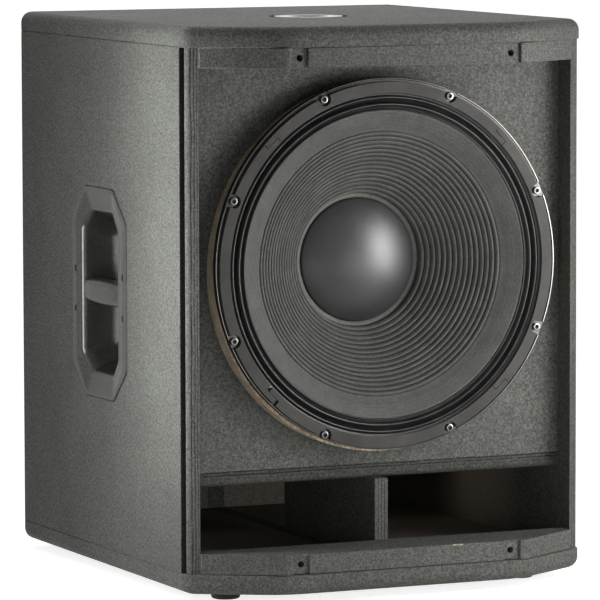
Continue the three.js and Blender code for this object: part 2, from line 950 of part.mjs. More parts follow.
function spider() {
  const waveEnd = spiderRadius - spiderLip;
  const steps = spiderWaveCount * 2;
  const rest = spiderLedge - seam - spiderThickness;
  const front = Array.from({ length: steps + 1 }, (_, i) => {
    const lift = i % 2 === 0 ? 0 : spiderWaveHeight;
    return [neckRadius + ((waveEnd - neckRadius) * i) / steps, rest - lift];
  });
  front.push([spiderRadius, rest]);
  const back = front.map(([radius, y]) => [radius, y + spiderThickness]).reverse();
  return turned([...front, ...back], hiddenSteps);
}

function washer(innerRadius, outerRadius, front, thickness) {
  return turned(
    [
      [innerRadius, front],
      [outerRadius, front],
      [outerRadius, front + thickness],
      [innerRadius, front + thickness],
    ],
    hiddenSteps,
  );
}

function polePiece() {
  const back = backPlateFront + backPlateThickness;
  return turned(
    [
      [poleVentRadius, topPlateFront],
      [poleRadius, topPlateFront],
      [poleRadius, backPlateFront],
      [backPlateRadius, backPlateFront],
      [backPlateRadius, back],
      [poleVentRadius, back],
    ],
    hiddenSteps,
  );
}

// The grip bar's section at a place along it: thicker in the middle
function gripSection(along) {
  const reach = cupMouth.width / 2 + cupWall / 2;
  const swell = gripSwell * (1 - (along / reach) ** 2);
  const tall = (gripHeight + swell) / 2;
  const outline = roundedOutline([
    { x: -gripSetback - gripDepth, y: -tall, radius: gripRound, steps: facetSteps },
    { x: -gripSetback, y: -tall, radius: gripRound, steps: facetSteps },
    { x: -gripSetback, y: tall, radius: gripRound, steps: facetSteps },
    { x: -gripSetback - gripDepth, y: tall, radius: gripRound, steps: facetSteps },
  ]);
  return outline.map((p) => new THREE.Vector3(p.x, along, p.y));
}

// A moulded handle with its frame, funnel, cup and grip bar; the board's outer face is at x 0
function handle() {
  const plate = loft([
    octagonAt(framePlate, -plateProud),
    octagonAt(framePlate, plateThickness - plateProud),
  ]);
  const tub = loft([
    octagonAt(funnelMouth, 0, cupWall),
    octagonAt(funnelMouth, sideThickness, cupWall),
    octagonAt(cupFloor, cupDepth + cupWall, cupWall),
  ]);
  const funnel = loft([
    octagonAt(funnelMouth, -overrun - plateProud),
    octagonAt(funnelMouth, -plateProud),
    octagonAt(cupMouth, funnelDepth),
  ]);
  const cup = loft([octagonAt(cupMouth, funnelDepth - seam), octagonAt(cupFloor, cupDepth)]);
  const screwHoles = handleScrewPlaces().flatMap((place) => [
    rod(
      handleScrewHeadRadius + screwClearance,
      boltSteps,
      'x',
      plateProud - handleScrewRecess,
      plateProud + overrun,
      place.x,
      place.y,
    ),
    rod(
      handleScrewShankRadius + screwClearance,
      boltSteps,
      'x',
      -sideThickness,
      plateProud,
      place.x,
      place.y,
    ),
  ]);
  const reach = cupMouth.width / 2 + cupWall / 2;
  const grip = loft(
    Array.from({ length: gripStations + 1 }, (_, i) =>
      gripSection(-reach + (2 * reach * i) / gripStations),
    ),
  );
  return join(cut(join(plate, tub), funnel, cup, ...screwHoles), grip);
}

// A pan head screw along X, its seat at x 0 and its head towards +x
function handleScrew() {
  return join(
    rod(handleScrewHeadRadius, boltSteps, 'x', 0, handleScrewHeadHeight, 0, 0),
    rod(handleScrewShankRadius, boltSteps, 'x', -handleScrewLength, seam, 0, 0),
  );
}

// A flanged steel cup for a 35 mm pole, flush with the top
function poleSocket() {
  const under = bodyHeight - socketPlateThickness;
  const base = bodyHeight - socketDepth;
  const body = turnedUpright(
    [
      [0, base - socketFloor],
      [socketTubeRadius, base - socketFloor],
      [socketTubeRadius, under],
      [socketPlateRadius, under],
      [socketPlateRadius, bodyHeight],
      [socketBoreRadius, bodyHeight],
      [socketBoreRadius, base],
      [0, base],
    ],
    smallSteps,
  );
  const seat = bodyHeight - plateSink();
  const above = bodyHeight + overrun;
  const holes = ringOfPlaces(socketScrewCount, socketScrewCircle).flatMap(({ x, y }) => [
    rod(socketScrewHeadRadius + seam, boltSteps, 'z', seat, above, x, y),
    rod(socketScrewShankRadius + seam, boltSteps, 'z', under - overrun, above, x, y),
  ]);
  return cut(body, ...holes);
}

// How deep the heads of the pole socket's screws are let into its plate
function plateSink() {
  return (socketPlateThickness * 2) / 3;
}

function socketScrew() {
  const under = bodyHeight - plateSink() + seam;
  const tip = bodyHeight - socketScrewLength;
  return join(
    rod(socketScrewHeadRadius, boltSteps, 'z', under, bodyHeight, 0, 0),
    rod(socketScrewShankRadius, boltSteps, 'z', tip, under + seam, 0, 0),
  );
}

function inputOutline(width, tall) {
  const radius = inputCornerRound;
  return roundedOutline([
    { x: -width / 2, y: inputHeight - tall / 2, radius, steps: facetSteps },
    { x: width / 2, y: inputHeight - tall / 2, radius, steps: facetSteps },
    { x: width / 2, y: inputHeight + tall / 2, radius, steps: facetSteps },
    { x: -width / 2, y: inputHeight + tall / 2, radius, steps: facetSteps },
  ]);
}

function inputScrewPlaces() {
  return [-1, 1].flatMap((across) =>
    [-1, 1].map((up) => new THREE.Vector2(across * inputScrewAcross, up * inputScrewUp)),
  );
}

function inputPanel() {
  const plateFront = cabinetDepth - inputPlateThickness;
  const dishOutline = (grow) =>
    rectangle(
      -dishWidth / 2 - grow,
      dishWidth / 2 + grow,
      dishHeight - dishTall / 2 - grow,
      dishHeight + dishTall / 2 + grow,
    );
  const plate = board(inputOutline(inputWidth, inputTall), 'y', plateFront, cabinetDepth);
  const dish = board(dishOutline(dishWall), 'y', dishFloorFront - dishWall, cabinetDepth - seam);
  const hollow = board(dishOutline(0), 'y', dishFloorFront, cabinetDepth + overrun);
  const sockets = [-1, 1].map((side) =>
    rod(
      speakerBarrelRadius + seam,
      smallSteps,
      'y',
      dishFloorFront - dishWall - overrun,
      dishFloorFront + overrun,
      (side * speakerSocketSpacing) / 2,
      dishHeight,
    ),
  );
  const screws = inputScrewPlaces().flatMap((place) => {
    const up = inputHeight + place.y;
    const seat = cabinetDepth - inputScrewSink;
    return [
      rod(inputScrewShankRadius + seam, boltSteps, 'y', plateFront - overrun, cabinetDepth, place.x, up),
      rod(inputScrewHeadRadius + seam, boltSteps, 'y', seat, cabinetDepth + overrun, place.x, up),
    ];
  });
  return cut(join(plate, dish), hollow, ...sockets, ...screws);
}

// A round locking socket with its flange on the dish floor at y 0 and its barrel reaching inside
function speakerSocket() {
  const face = seam + speakerFlangeThickness;
  return turned(
    [
      [0, -speakerBarrelLength],
      [speakerBarrelRadius, -speakerBarrelLength],
      [speakerBarrelRadius, seam],
      [speakerFlangeRadius, seam],
      [speakerFlangeRadius, face],
      [speakerWellRadius, face],
      [speakerWellRadius, face - speakerWellDepth],
      [speakerCoreRadius, face - speakerWellDepth],
      [speakerCoreRadius, face],
      [0, face],
    ],
    smallSteps,
  );
}

// A countersunk screw along Y with its head's outer face at y 0
function inputScrew() {
  const under = seam - inputScrewSink;
  return join(
    rod(inputScrewHeadRadius, boltSteps, 'y', under, 0, 0, 0),
    rod(inputScrewShankRadius, boltSteps, 'y', -inputScrewLength, under + seam, 0, 0),
  );
}

// The twin lead hangs between its socket and the terminal under the driver's hub
function speakerLead() {
  const left = -speakerSocketSpacing / 2;
  const start = dishFloorFront - speakerBarrelLength - seam;
  const end = driverHeight - hubRadius - terminalHeight - seam;
  const under = hubBack - terminalDepth / 2;
  const route = new THREE.CatmullRomCurve3(
    [
      new THREE.Vector3(left, start, dishHeight),
      new THREE.Vector3(left, start - leadStraight, dishHeight),
      new THREE.Vector3(left / 2, (start + under) / 2, dishHeight - leadSag),
      new THREE.Vector3(0, under + leadBend, dishHeight),
      new THREE.Vector3(0, under, end - leadStraight),
      new THREE.Vector3(0, under, end),
    ],
    false,
    'centripetal',
  );
  const section = new THREE.Shape(circle(leadRadius, leadSides));
  const sweep = { steps: leadSteps, bevelEnabled: false, extrudePath: route };
  return weld(new THREE.ExtrudeGeometry(section, sweep));
}

function addMesh(group, name, geometry, look) {
  const mesh = new THREE.Mesh(geometry, new THREE.MeshStandardMaterial(look));
  mesh.name = name;
  group.add(mesh);
  return mesh;
}

const sides = [
  { name: 'left', sign: -1 },
  { name: 'right', sign: 1 },
];

function buildShell(body) {
  addMesh(body, 'top_panel', topPanel(), paintedBlack);
  addMesh(body, 'bottom_panel', capBoard(capThickness, -1), paintedBlack);
  for (const { name, sign } of sides) {
    addMesh(body, `${name}_side_panel`, sidePanel(sign), paintedBlack);
  }
  addMesh(body, 'rear_panel', rearPanel(), paintedBlack);
  addMesh(body, 'baffle', baffle(), paintedBlack);
  const upper = addMesh(body, 'upper_grille_batten', grilleBatten(), paintedBlack);
  upper.position.z = upperCapBase - seam - battenHeight;
  const lower = addMesh(body, 'lower_grille_batten', grilleBatten(), paintedBlack);
  lower.position.z = capThickness + seam;
  addMesh(body, 'port_shelf', portShelf(), paintedBlack);
  addMesh(body, 'port_divider', portDivider(), paintedBlack);
  addMesh(body, 'cross_brace', crossBrace(), bareWood);
}

function buildFeet(body) {
  const rows = [
    { name: 'front', y: footSetback },
    { name: 'rear', y: cabinetDepth - footSetback },
  ];
  for (const row of rows) {
    for (const { name, sign } of sides) {
      const mesh = addMesh(body, `${row.name}_${name}_foot`, foot(), rubberBlack);
      mesh.position.set(sign * (halfWidth - footInset), row.y, 0);
    }
  }
}

function buildDriver(body) {
  const driver = new THREE.Group();
  driver.position.z = driverHeight;
  body.add(driver);
  addMesh(driver, 'spacer_ring', spacerRing(), bareWood);
  addMesh(driver, 'driver_frame', driverFrame(), castAluminium);
  addMesh(driver, 'surround', surround(), clothGrey);
  addMesh(driver, 'cone', cone(), paperGrey);
  addMesh(driver, 'dust_cap', dustCap(), paperGrey);
  addMesh(driver, 'voice_coil', voiceCoil(), copperBrown);
  addMesh(driver, 'spider', spider(), copperBrown);
  const gap = formerRadius + windingThickness + coilGap;
  const topPlate = washer(gap, topPlateRadius, topPlateFront, topPlateThickness);
  addMesh(driver, 'top_plate', topPlate, darkSteel);
  const magnet = washer(magnetInnerRadius, magnetRadius, magnetFront, magnetThickness);
  addMesh(driver, 'magnet', magnet, ferrite);
  addMesh(driver, 'pole_piece', polePiece(), darkSteel);
  for (let i = 0; i < gasketQuarters; i += 1) {
    const mesh = addMesh(driver, `gasket_quarter_${i + 1}`, gasketQuarter(), gasketGrey);
    mesh.rotation.y = (i / gasketQuarters) * 2 * Math.PI;
  }
  ringOfPlaces(boltCount, boltCircleRadius).forEach((place, i) => {
    const bolt = addMesh(driver, `driver_bolt_${i + 1}`, capScrew(), brightSteel);
    bolt.position.set(place.x, boltHeadFront, place.y);
  });
}

function buildHandles(body) {
  for (const { name, sign } of sides) {
    const group = new THREE.Group();
    group.position.set(sign * halfWidth, handleSetback, handleHeight);
    group.rotation.z = sign > 0 ? 0 : Math.PI;
    body.add(group);
    addMesh(group, `${name}_handle`, handle(), plasticBlack);
    handleScrewPlaces().forEach((place, i) => {
      const screw = addMesh(group, `${name}_handle_screw_${i + 1}`, handleScrew(), darkSteel);
      screw.position.set(plateProud - handleScrewRecess + seam, place.x, place.y);
    });
  }
}

function buildPoleSocket(body) {
  const group = new THREE.Group();
  group.position.y = socketSetback;
  body.add(group);
  addMesh(group, 'pole_socket', poleSocket(), brightSteel);
  ringOfPlaces(socketScrewCount, socketScrewCircle).forEach((place, i) => {
    const screw = addMesh(group, `pole_socket_screw_${i + 1}`, socketScrew(), darkSteel);
    screw.position.set(place.x, place.y, 0);
  });
}

function buildInput(body) {
  addMesh(body, 'input_panel', inputPanel(), plasticBlack);
  [-1, 1].forEach((side, i) => {
    const socket = addMesh(body, `speaker_socket_${i + 1}`, speakerSocket(), plasticBlack);
    socket.position.set((side * speakerSocketSpacing) / 2, dishFloorFront, dishHeight);
  });
  inputScrewPlaces().forEach((place, i) => {
    const screw = addMesh(body, `input_panel_screw_${i + 1}`, inputScrew(), darkSteel);
    screw.position.set(place.x, cabinetDepth, inputHeight + place.y);
  });
  addMesh(body, 'speaker_lead', speakerLead(), rubberBlack);
}

const subwoofer = new THREE.Group();
const body = new THREE.Group();
body.position.set(0, -cabinetDepth / 2, footHeight);
subwoofer.add(body);
buildShell(body);
buildFeet(body);
buildDriver(body);
buildHandles(body);
buildPoleSocket(body);
buildInput(body);

export default subwoofer;
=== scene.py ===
"""Looks of a passive subwoofer cabinet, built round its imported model.

Shapes are written in cabinet millimetres: x is 0 at the middle, y is 0 at the foremost point and grows to
the back, and z is 0 under the base board. at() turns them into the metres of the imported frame.
"""

import math

import bmesh
import bpy
from mathutils import Matrix, Vector


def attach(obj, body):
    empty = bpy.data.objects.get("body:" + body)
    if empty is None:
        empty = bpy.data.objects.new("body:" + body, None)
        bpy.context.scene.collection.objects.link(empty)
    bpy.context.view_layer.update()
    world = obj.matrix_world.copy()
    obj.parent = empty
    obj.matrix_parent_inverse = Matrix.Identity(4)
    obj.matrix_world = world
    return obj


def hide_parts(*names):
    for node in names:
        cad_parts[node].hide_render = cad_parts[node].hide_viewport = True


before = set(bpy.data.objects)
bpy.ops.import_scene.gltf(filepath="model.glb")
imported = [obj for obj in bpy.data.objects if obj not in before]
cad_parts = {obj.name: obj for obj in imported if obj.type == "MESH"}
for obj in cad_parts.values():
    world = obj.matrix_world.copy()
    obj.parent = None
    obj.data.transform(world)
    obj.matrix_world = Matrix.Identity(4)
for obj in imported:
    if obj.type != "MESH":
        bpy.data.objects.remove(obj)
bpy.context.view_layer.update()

MM = 0.001
SIDES = (("left", -1), ("right", 1))
FINE = 192
AXIS = 0.001
SHARP = 32.0

# Cabinet
WIDTH, DEPTH, HEIGHT = 534.0, 603.0, 682.0
FOOT, FOOT_X, FOOT_Y = 12.0, 68.0, 97.0
CAP, SIDE = 25.0, 18.0
FACET, SETBACK, NOSE = 161.0, 63.0, 5
EDGE_ROUND, CORNER_ROUND = 14.0, 15.0
RECESS, SLOT_DEPTH, SLOT_FRONT, SLOT_BACK = 5, 8, 70.6, 74.6
BATTEN, BATTEN_DEPTH, NOTCH_X, BATTEN_HOLE_X = 24.5, 76.0, 141.5, 140.4
BAFFLE_Y, BAFFLE = 90.0, 18.0
SHELF_BASE, SHELF_TOP, SHELF_END, SHELF_EASE = 125.0, 143.0, 346.0, 6

# Driver
DRIVER_Z = 388.0
HOLE = 213.0
FRAME_EDGE = 228.0
BOLTS, BOLT_CIRCLE = 8, 220.0
CONE_NECK, CONE_EDGE = 51.7, 187.7
RIBS, RIB_START, RIB_PITCH = 15, 81.8, 5.31
DUST_CAP_RING, PRESSED_PITCH = (76.9, 81.3), 4.4

# Middles of the handles, the pole socket and the input panel
HANDLE_Y, HANDLE_Z = 328.5, 342.0
SOCKET_Y = 288.0
INPUT_Z = 178.0


def at(x, y, z):
    return Vector((x * MM, (y - DEPTH / 2) * MM, (z + FOOT) * MM))


# Plain mesh building


class Shape:
    """Points in cabinet millimetres, with faces that carry a material number."""

    def __init__(self, points, faces, marks=None):
        self.points = [tuple(p) for p in points]
        self.faces = list(faces)
        self.marks = list(marks or [0] * len(self.faces))

    def moved(self, change):
        return Shape([change(*p) for p in self.points], self.faces, self.marks)

    def join(self, other):
        first = len(self.points)
        self.points += other.points
        self.faces += [tuple(first + i for i in face) for face in other.faces]
        self.marks += other.marks


def outward(mesh):
    """Joins points that meet and turns every face outward."""
    work = bmesh.new()
    work.from_mesh(mesh)
    bmesh.ops.remove_doubles(work, verts=work.verts, dist=1e-7)
    bmesh.ops.recalc_face_normals(work, faces=work.faces)
    work.to_mesh(mesh)
    work.free()


def build(name, shape, materials, smooth=SHARP):
    """A Blender object from a shape; edges sharper than smooth degrees stay crisp."""
    mesh = bpy.data.meshes.new(name)
    mesh.from_pydata([at(*p) for p in shape.points], [], shape.faces)
    for polygon, mark in zip(mesh.polygons, shape.marks):
        polygon.material_index = mark
    for material in materials if isinstance(materials, list) else [materials]:
        mesh.materials.append(material)
    outward(mesh)
    mesh.shade_smooth()
    mesh.set_sharp_from_angle(angle=math.radians(smooth))
    piece = bpy.data.objects.new(name, mesh)
    bpy.context.scene.collection.objects.link(piece)
    return piece


def soften(piece, width, steps, limit):
    """Rounds the edges that turn by more than limit degrees; width is in millimetres."""
    modifier = piece.modifiers.new("soften", "BEVEL")
    modifier.width = width * MM
    modifier.segments = steps
    modifier.limit_method = "ANGLE"
    modifier.angle_limit = math.radians(limit)
    modifier.harden_normals = True
    return piece


def carve(piece, material, *cuts):
    """Takes shapes out of the piece; a cut given as (shape, material) leaves a finish of its own."""
    cutters = []
    for cut in cuts:
        shape, finish = cut if isinstance(cut, tuple) else (cut, material)
        cutters.append(build("cutter", shape, finish))
    for cutter in cutters:
        modifier = piece.modifiers.new("carve", "BOOLEAN")
        modifier.operation = "DIFFERENCE"
        modifier.solver = "EXACT"
        modifier.material_mode = "TRANSFER"
        modifier.object = cutter
    bpy.context.view_layer.update()
    graph = bpy.context.evaluated_depsgraph_get()
    mesh = bpy.data.meshes.new_from_object(piece.evaluated_get(graph))
    old = piece.data
    piece.modifiers.clear()
    piece.data = mesh
    bpy.data.meshes.remove(old)
    mesh.name = piece.name
    mesh.shade_smooth()
    mesh.set_sharp_from_angle(angle=math.radians(SHARP))
    for cutter in cutters:
        old = cutter.data
        bpy.data.objects.remove(cutter)
        bpy.data.meshes.remove(old)
    return piece


def place(piece, node, body="cabinet"):
    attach(piece, body)
    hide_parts(node)


# Outlines and simple solids


def circle(radius, steps, x=0.0, y=0.0):
    turn = 2 * math.pi / steps
    return [(x + radius * math.cos(i * turn), y + radius * math.sin(i * turn)) for i in range(steps)]


def rounded(corners, inset=0.0):
    """A convex outline with rounded corners, given as (x, y, radius, steps), drawn in by an inset."""
    made = []
    for i, (x, y, radius, steps) in enumerate(corners):
        here = Vector((x, y))
        before = Vector(corners[i - 1][:2])
        after = Vector(corners[(i + 1) % len(corners)][:2])
        arriving, leaving = (here - before).normalized(), (after - here).normalized()
        start, end = Vector((arriving.y, -arriving.x)), Vector((leaving.y, -leaving.x))
        centre = here - (start + end) * (radius / (1 + start.dot(end)))
        turn = math.acos(max(-1.0, min(1.0, start.dot(end))))
        first = math.atan2(start.y, start.x)
        for k in range(steps + 1):
            angle = first + turn * k / steps
            away = radius - inset
            made.append((centre.x + away * math.cos(angle), centre.y + away * math.sin(angle)))
    return made


def box_outline(left, right, low, high):
    return [(left, low), (right, low), (right, high), (left, high)]


def prism(outline, axis, low, high):
    """A board with that outline between two places along an axis."""
    put = {
        "x": lambda a, b, c: (c, a, b),
        "y": lambda a, b, c: (a, c, b),
        "z": lambda a, b, c: (a, b, c),
    }[axis]
    count = len(outline)
    points = [put(a, b, c) for c in (low, high) for a, b in outline]
    faces = [(i, (i + 1) % count, count + (i + 1) % count, count + i) for i in range(count)]
    faces += [tuple(range(count)), tuple(range(count, 2 * count))]
    return Shape(points, faces)


def block(left, right, front, back, low, high):
    return prism(box_outline(left, right, front, back), "z", low, high)


def loft(rings, marks=None):
    """A closed skin over rings of equal counts; marks number the material of each band between rings."""
    count = len(rings[0])
    marks = marks or [0] * (len(rings) - 1)
    faces, numbers = [], []
    for row in range(len(rings) - 1):
        for i in range(count):
            a, b = row * count + i, row * count + (i + 1) % count
            faces.append((a, b, b + count, a + count))
            numbers.append(marks[row])
    last = (len(rings) - 1) * count
    faces += [tuple(range(count)), tuple(range(last, last + count))]
    numbers += [marks[0], marks[-1]]
    return Shape([p for ring in rings for p in ring], faces, numbers)


def revolve(profile, steps=FINE, z=DRIVER_Z, span=None, marks=None, x=0.0, upright=None):
    """Turns [radius, y] points about a line along y, or about a standing line through upright=(x, y)."""
    start, end = span or (0.0, 2 * math.pi)
    count = steps if span is None else steps + 1
    points, faces = [], []
    for i in range(count):
        angle = start + (end - start) * i / steps
        c, s = math.cos(angle), math.sin(angle)
        for radius, y in profile:
            if upright is None:
                points.append((x + radius * c, y, z + radius * s))
            else:
                points.append((upright[0] + radius * c, upright[1] + radius * s, y))
    size = len(profile)
    for i in range(steps):
        j = (i + 1) % count
        for k in range(size):
            m = (k + 1) % size
            faces.append((i * size + k, i * size + m, j * size + m, j * size + k))
    numbers = (marks or [0] * size) * steps
    if span is not None:
        faces += [tuple(range(size)), tuple(range((count - 1) * size, count * size))]
        numbers += [numbers[0]] * 2
    return Shape(points, faces, numbers)


def spread(count, radius):
    """Places on a circle, half a step from the first axis: (angle, x, z)."""
    made = []
    for i in range(count):
        angle = (i + 0.5) / count * 2 * math.pi
        made.append((angle, radius * math.cos(angle), radius * math.sin(angle)))
    return made


def rod(radius, steps, axis, low, high, first, second):
    return prism(circle(radius, steps, first, second), axis, low, high)


# Procedural materials


class Look:
    """A material whose nodes read the piece's own coordinates, in metres."""

    def __init__(self, name, roughness=0.5, metallic=0.0, specular=0.5):
        self.material = bpy.data.materials.new(name)
        self.material.use_nodes = True
        self.tree = self.material.node_tree
        self.shader = next(n for n in self.tree.nodes if n.type == "BSDF_PRINCIPLED")
        self.shader.inputs["Roughness"].default_value = roughness
        self.shader.inputs["Metallic"].default_value = metallic
        self.shader.inputs["Specular IOR Level"].default_value = specular
        self.place = self.node("ShaderNodeTexCoord").outputs["Object"]

    def node(self, kind, **settings):
        made = self.tree.nodes.new(kind)
        for name, value in settings.items():
            setattr(made, name, value)
        return made

    def link(self, source, target):
        self.tree.links.new(source, target)

    def stretched(self, scale, offset=(0.0, 0.0, 0.0)):
        node = self.node("ShaderNodeMapping")
        self.link(self.place, node.inputs["Vector"])
        node.inputs["Scale"].default_value = scale
        node.inputs["Location"].default_value = offset
        return node.outputs["Vector"]

    def noise(self, scale, detail=2.0, roughness=0.5, distortion=0.0, vector=None):
        node = self.node("ShaderNodeTexNoise")
        self.link(vector or self.place, node.inputs["Vector"])
        node.inputs["Scale"].default_value = scale
        node.inputs["Detail"].default_value = detail
        node.inputs["Roughness"].default_value = roughness
        node.inputs["Distortion"].default_value = distortion
        return node.outputs["Fac"]

    def cells(self, scale):
        node = self.node("ShaderNodeTexVoronoi")
        self.link(self.place, node.inputs["Vector"])
        node.inputs["Scale"].default_value = scale
        return node.outputs["Distance"]

    def ramp(self, value, stops):
        """stops are (position, colour or grey)."""
        node = self.node("ShaderNodeValToRGB")
        self.link(value, node.inputs["Fac"])
        ramp = node.color_ramp
        while len(ramp.elements) < len(stops):
            ramp.elements.new(1.0)
        for element, (position, colour) in zip(ramp.elements, stops):
            element.position = position
            rgb = colour if isinstance(colour, tuple) else (colour,) * 3
            element.color = (*rgb, 1.0)
        return node.outputs["Color"]

    def vary(self, value, low, high):
        """Runs from low to high over the span where most of a noise lies."""
        return self.ramp(value, [(0.3, low), (0.7, high)])

    def mix(self, share, first, second, kind="MIX"):
        node = self.node("ShaderNodeMix", data_type="RGBA", blend_type=kind)
        node.inputs["Factor"].default_value = 1.0
        for name, value in (("Factor", share), ("A", first), ("B", second)):
            socket = next(s for s in node.inputs if s.name == name and s.enabled)
            if isinstance(value, bpy.types.NodeSocket):
                self.link(value, socket)
            elif name == "Factor":
                socket.default_value = value
            else:
                rgb = value if isinstance(value, tuple) else (value,) * 3
                socket.default_value = (*rgb, 1.0)
        return next(s for s in node.outputs if s.enabled)

    def tint(self, base, shade):
        return self.mix(1.0, base, shade, "MULTIPLY")

    def maths(self, kind, first, second=0.0, clamp=False):
        node = self.node("ShaderNodeMath", operation=kind, use_clamp=clamp)
        for socket, value in zip(node.inputs, (first, second)):
            if isinstance(value, bpy.types.NodeSocket):
                self.link(value, socket)
            else:
                socket.default_value = value
        return node.outputs["Value"]

    def plus(self, first, second):
        return self.maths("ADD", first, second)

    def minus(self, first, second):
        return self.maths("SUBTRACT", first, second)

    def times(self, first, second):
        return self.maths("MULTIPLY", first, second)

    def above(self, value, limit):
        return self.maths("GREATER_THAN", value, limit * MM)

    def below(self, value, limit):
        return self.maths("LESS_THAN", value, limit * MM)

    def rise(self, value, start, length):
        """Climbs from 0 at the start to 1 a length further on."""
        return self.maths("DIVIDE", self.minus(value, start), length, clamp=True)

    def split(self):
        node = self.node("ShaderNodeSeparateXYZ")
        self.link(self.place, node.inputs["Vector"])
        return node.outputs["X"], node.outputs["Y"], node.outputs["Z"]

    def bump(self, height, strength, distance, after=None):
        node = self.node("ShaderNodeBump")
        node.inputs["Strength"].default_value = strength
        node.inputs["Distance"].default_value = distance * MM
        self.link(height, node.inputs["Height"])
        if after is not None:
            self.link(after, node.inputs["Normal"])
        self.link(node.outputs["Normal"], self.shader.inputs["Normal"])
        return node.outputs["Normal"]

    def colour(self, socket):
        self.link(socket, self.shader.inputs["Base Color"])

    def rough(self, socket):
        self.link(socket, self.shader.inputs["Roughness"])

    def radius(self):
        """Distance from the driver's axis, in metres."""
        dx, _, z = self.split()
        dz = self.minus(z, (DRIVER_Z + FOOT) * MM)
        return self.maths("SQRT", self.plus(self.times(dx, dx), self.times(dz, dz)))


PAINT_DARK, PAINT_LIGHT = (0.056, 0.058, 0.052), (0.142, 0.145, 0.133)
PLY_LINE = (0.012, 0.012, 0.011)
BARE_WOOD = (0.42, 0.35, 0.27)
CLEAR = 0.4


def paint_parts(look):
    """Sprayed textured paint over soft waves; deep in the ports it thins out and the bare wood shows."""
    grain = look.noise(400, 3, 0.6)
    patch = look.noise(9, 3, 0.6)
    base = look.ramp(grain, [(0.28, PAINT_DARK), (0.72, PAINT_LIGHT)])
    base = look.tint(base, look.vary(patch, 0.88, 1.08))
    base = look.tint(base, look.ramp(grain, [(0.32, 0.86), (0.68, 1.14)]))
    x, y, z = look.split()
    outward_x = look.maths("ABSOLUTE", x)
    rear_board = at(0, DEPTH - SIDE + CLEAR, 0).y
    in_ports = [
        look.below(outward_x, WIDTH / 2 - SIDE + CLEAR),
        look.below(z, SHELF_BASE + FOOT + CLEAR),
        look.above(z, CAP + FOOT - CLEAR),
        look.maths("LESS_THAN", y, rear_board),
        look.above(outward_x, 12),
    ]
    deep = look.rise(y, at(0, 190, 0).y, 160 * MM)
    past = look.rise(y, at(0, 360, 0).y, 80 * MM)
    bare = look.times(deep, look.minus(1.0, look.times(past, 0.7)))
    for part in in_ports:
        bare = look.times(bare, part)
    wood = look.tint(BARE_WOOD, look.vary(grain, 0.8, 1.1))
    look.rough(look.vary(grain, 0.62, 0.44))
    fine = look.bump(grain, 0.5, 0.7)
    look.bump(look.noise(150, 2, 0.5), 0.3, 0.5, fine)
    return look.mix(bare, base, wood)


def paint():
    look = Look("textured_paint", specular=0.03)
    look.colour(paint_parts(look))
    return look.material


def slot_painted_shade():
    """Painted shade: the side board's paint, darkened to three tenths, for the faces inside its narrow slot.
    """
    look = Look("slot_painted_shade", specular=0.02)
    look.colour(look.tint(paint_parts(look), 0.30))
    return look.material


def painted_ply(name, axis, first, thickness, lines, tone=1.0):
    """Paint over a cut plywood edge, with broken dark lines: (share of the thickness, width, strength)."""
    look = Look(name, specular=0.03)
    base = look.tint(paint_parts(look), tone)
    across = look.split()["xyz".index(axis)]
    stretch = {"x": (90, 90, 14), "z": (14, 90, 90)}[axis]
    wobble = look.noise(1.0, 3, 0.6, vector=look.stretched(stretch))
    height = look.plus(across, look.times(look.minus(wobble, 0.5), 0.0042))
    breaks = look.noise(1.0, 4, 0.7, vector=look.stretched(tuple(2.2 * s for s in stretch), (3, 5, 7)))
    mask = None
    for share, width, strength in lines:
        away = look.maths("ABSOLUTE", look.minus(height, (first + share * thickness) * MM))
        line = look.maths("SUBTRACT", 1.0, look.maths("DIVIDE", away, width * MM), clamp=True)
        line = look.times(line, strength)
        mask = line if mask is None else look.maths("MAXIMUM", mask, line)
    mask = look.times(mask, look.ramp(breaks, [(0.32, 0.0), (0.46, 1.0)]))
    look.colour(look.mix(mask, base, PLY_LINE))
    streak = look.noise(1.0, 3, 0.6, vector=look.stretched(tuple(5 * s for s in stretch)))
    rest = look.shader.inputs["Normal"].links[0].from_socket
    look.bump(look.minus(look.times(streak, 0.4), mask), 0.6, 0.9, rest)
    return look.material


def raw_wood():
    """Unpainted plywood edge: thin bands along the depth, short fibres and stains."""
    look = Look("raw_plywood", roughness=0.85, specular=0.25)
    depth = look.split()[1]
    grain = look.noise(1.0, 5, 0.65, vector=look.stretched((260, 900, 260)))
    bands = look.maths("SINE", look.times(look.plus(depth, look.times(grain, 0.002)), 2400))
    browns = [(0.2, (0.26, 0.205, 0.14)), (0.55, (0.56, 0.46, 0.33)), (0.85, (0.80, 0.69, 0.53))]
    tone = look.ramp(look.plus(look.times(bands, 0.22), grain), browns)
    stain = look.ramp(look.noise(26, 3, 0.6), [(0.35, 0.62), (0.65, 1.1)])
    look.colour(look.tint(tone, stain))
    look.bump(grain, 0.6, 0.5)
    return look.material


def bare_metal(name, tone, roughness, line_scale=(900, 900, 900)):
    """Bare metal with fine marks; line_scale stretches them into machining lines."""
    look = Look(name, metallic=1.0)
    marks = look.noise(1.0, 4, 0.7, vector=look.stretched(line_scale))
    cloud = look.noise(30, 2, 0.5)
    dark = tuple(0.72 * t for t in tone)
    look.colour(look.mix(look.vary(cloud, 0.0, 1.0), dark, tone))
    look.rough(look.vary(marks, roughness * 0.75, roughness * 1.35))
    look.bump(marks, 0.25, 0.12)
    return look.material


def gasket_look():
    look = Look("gasket_felt", roughness=0.8, specular=0.15)
    fine = look.noise(900, 3, 0.7)
    cloud = look.noise(22, 4, 0.6)
    tone = look.vary(cloud, (0.043, 0.041, 0.038), (0.070, 0.067, 0.062))
    look.colour(look.tint(tone, look.vary(fine, 0.78, 1.2)))
    look.rough(look.vary(fine, 0.7, 0.92))
    look.bump(fine, 0.5, 0.35)
    return look.material


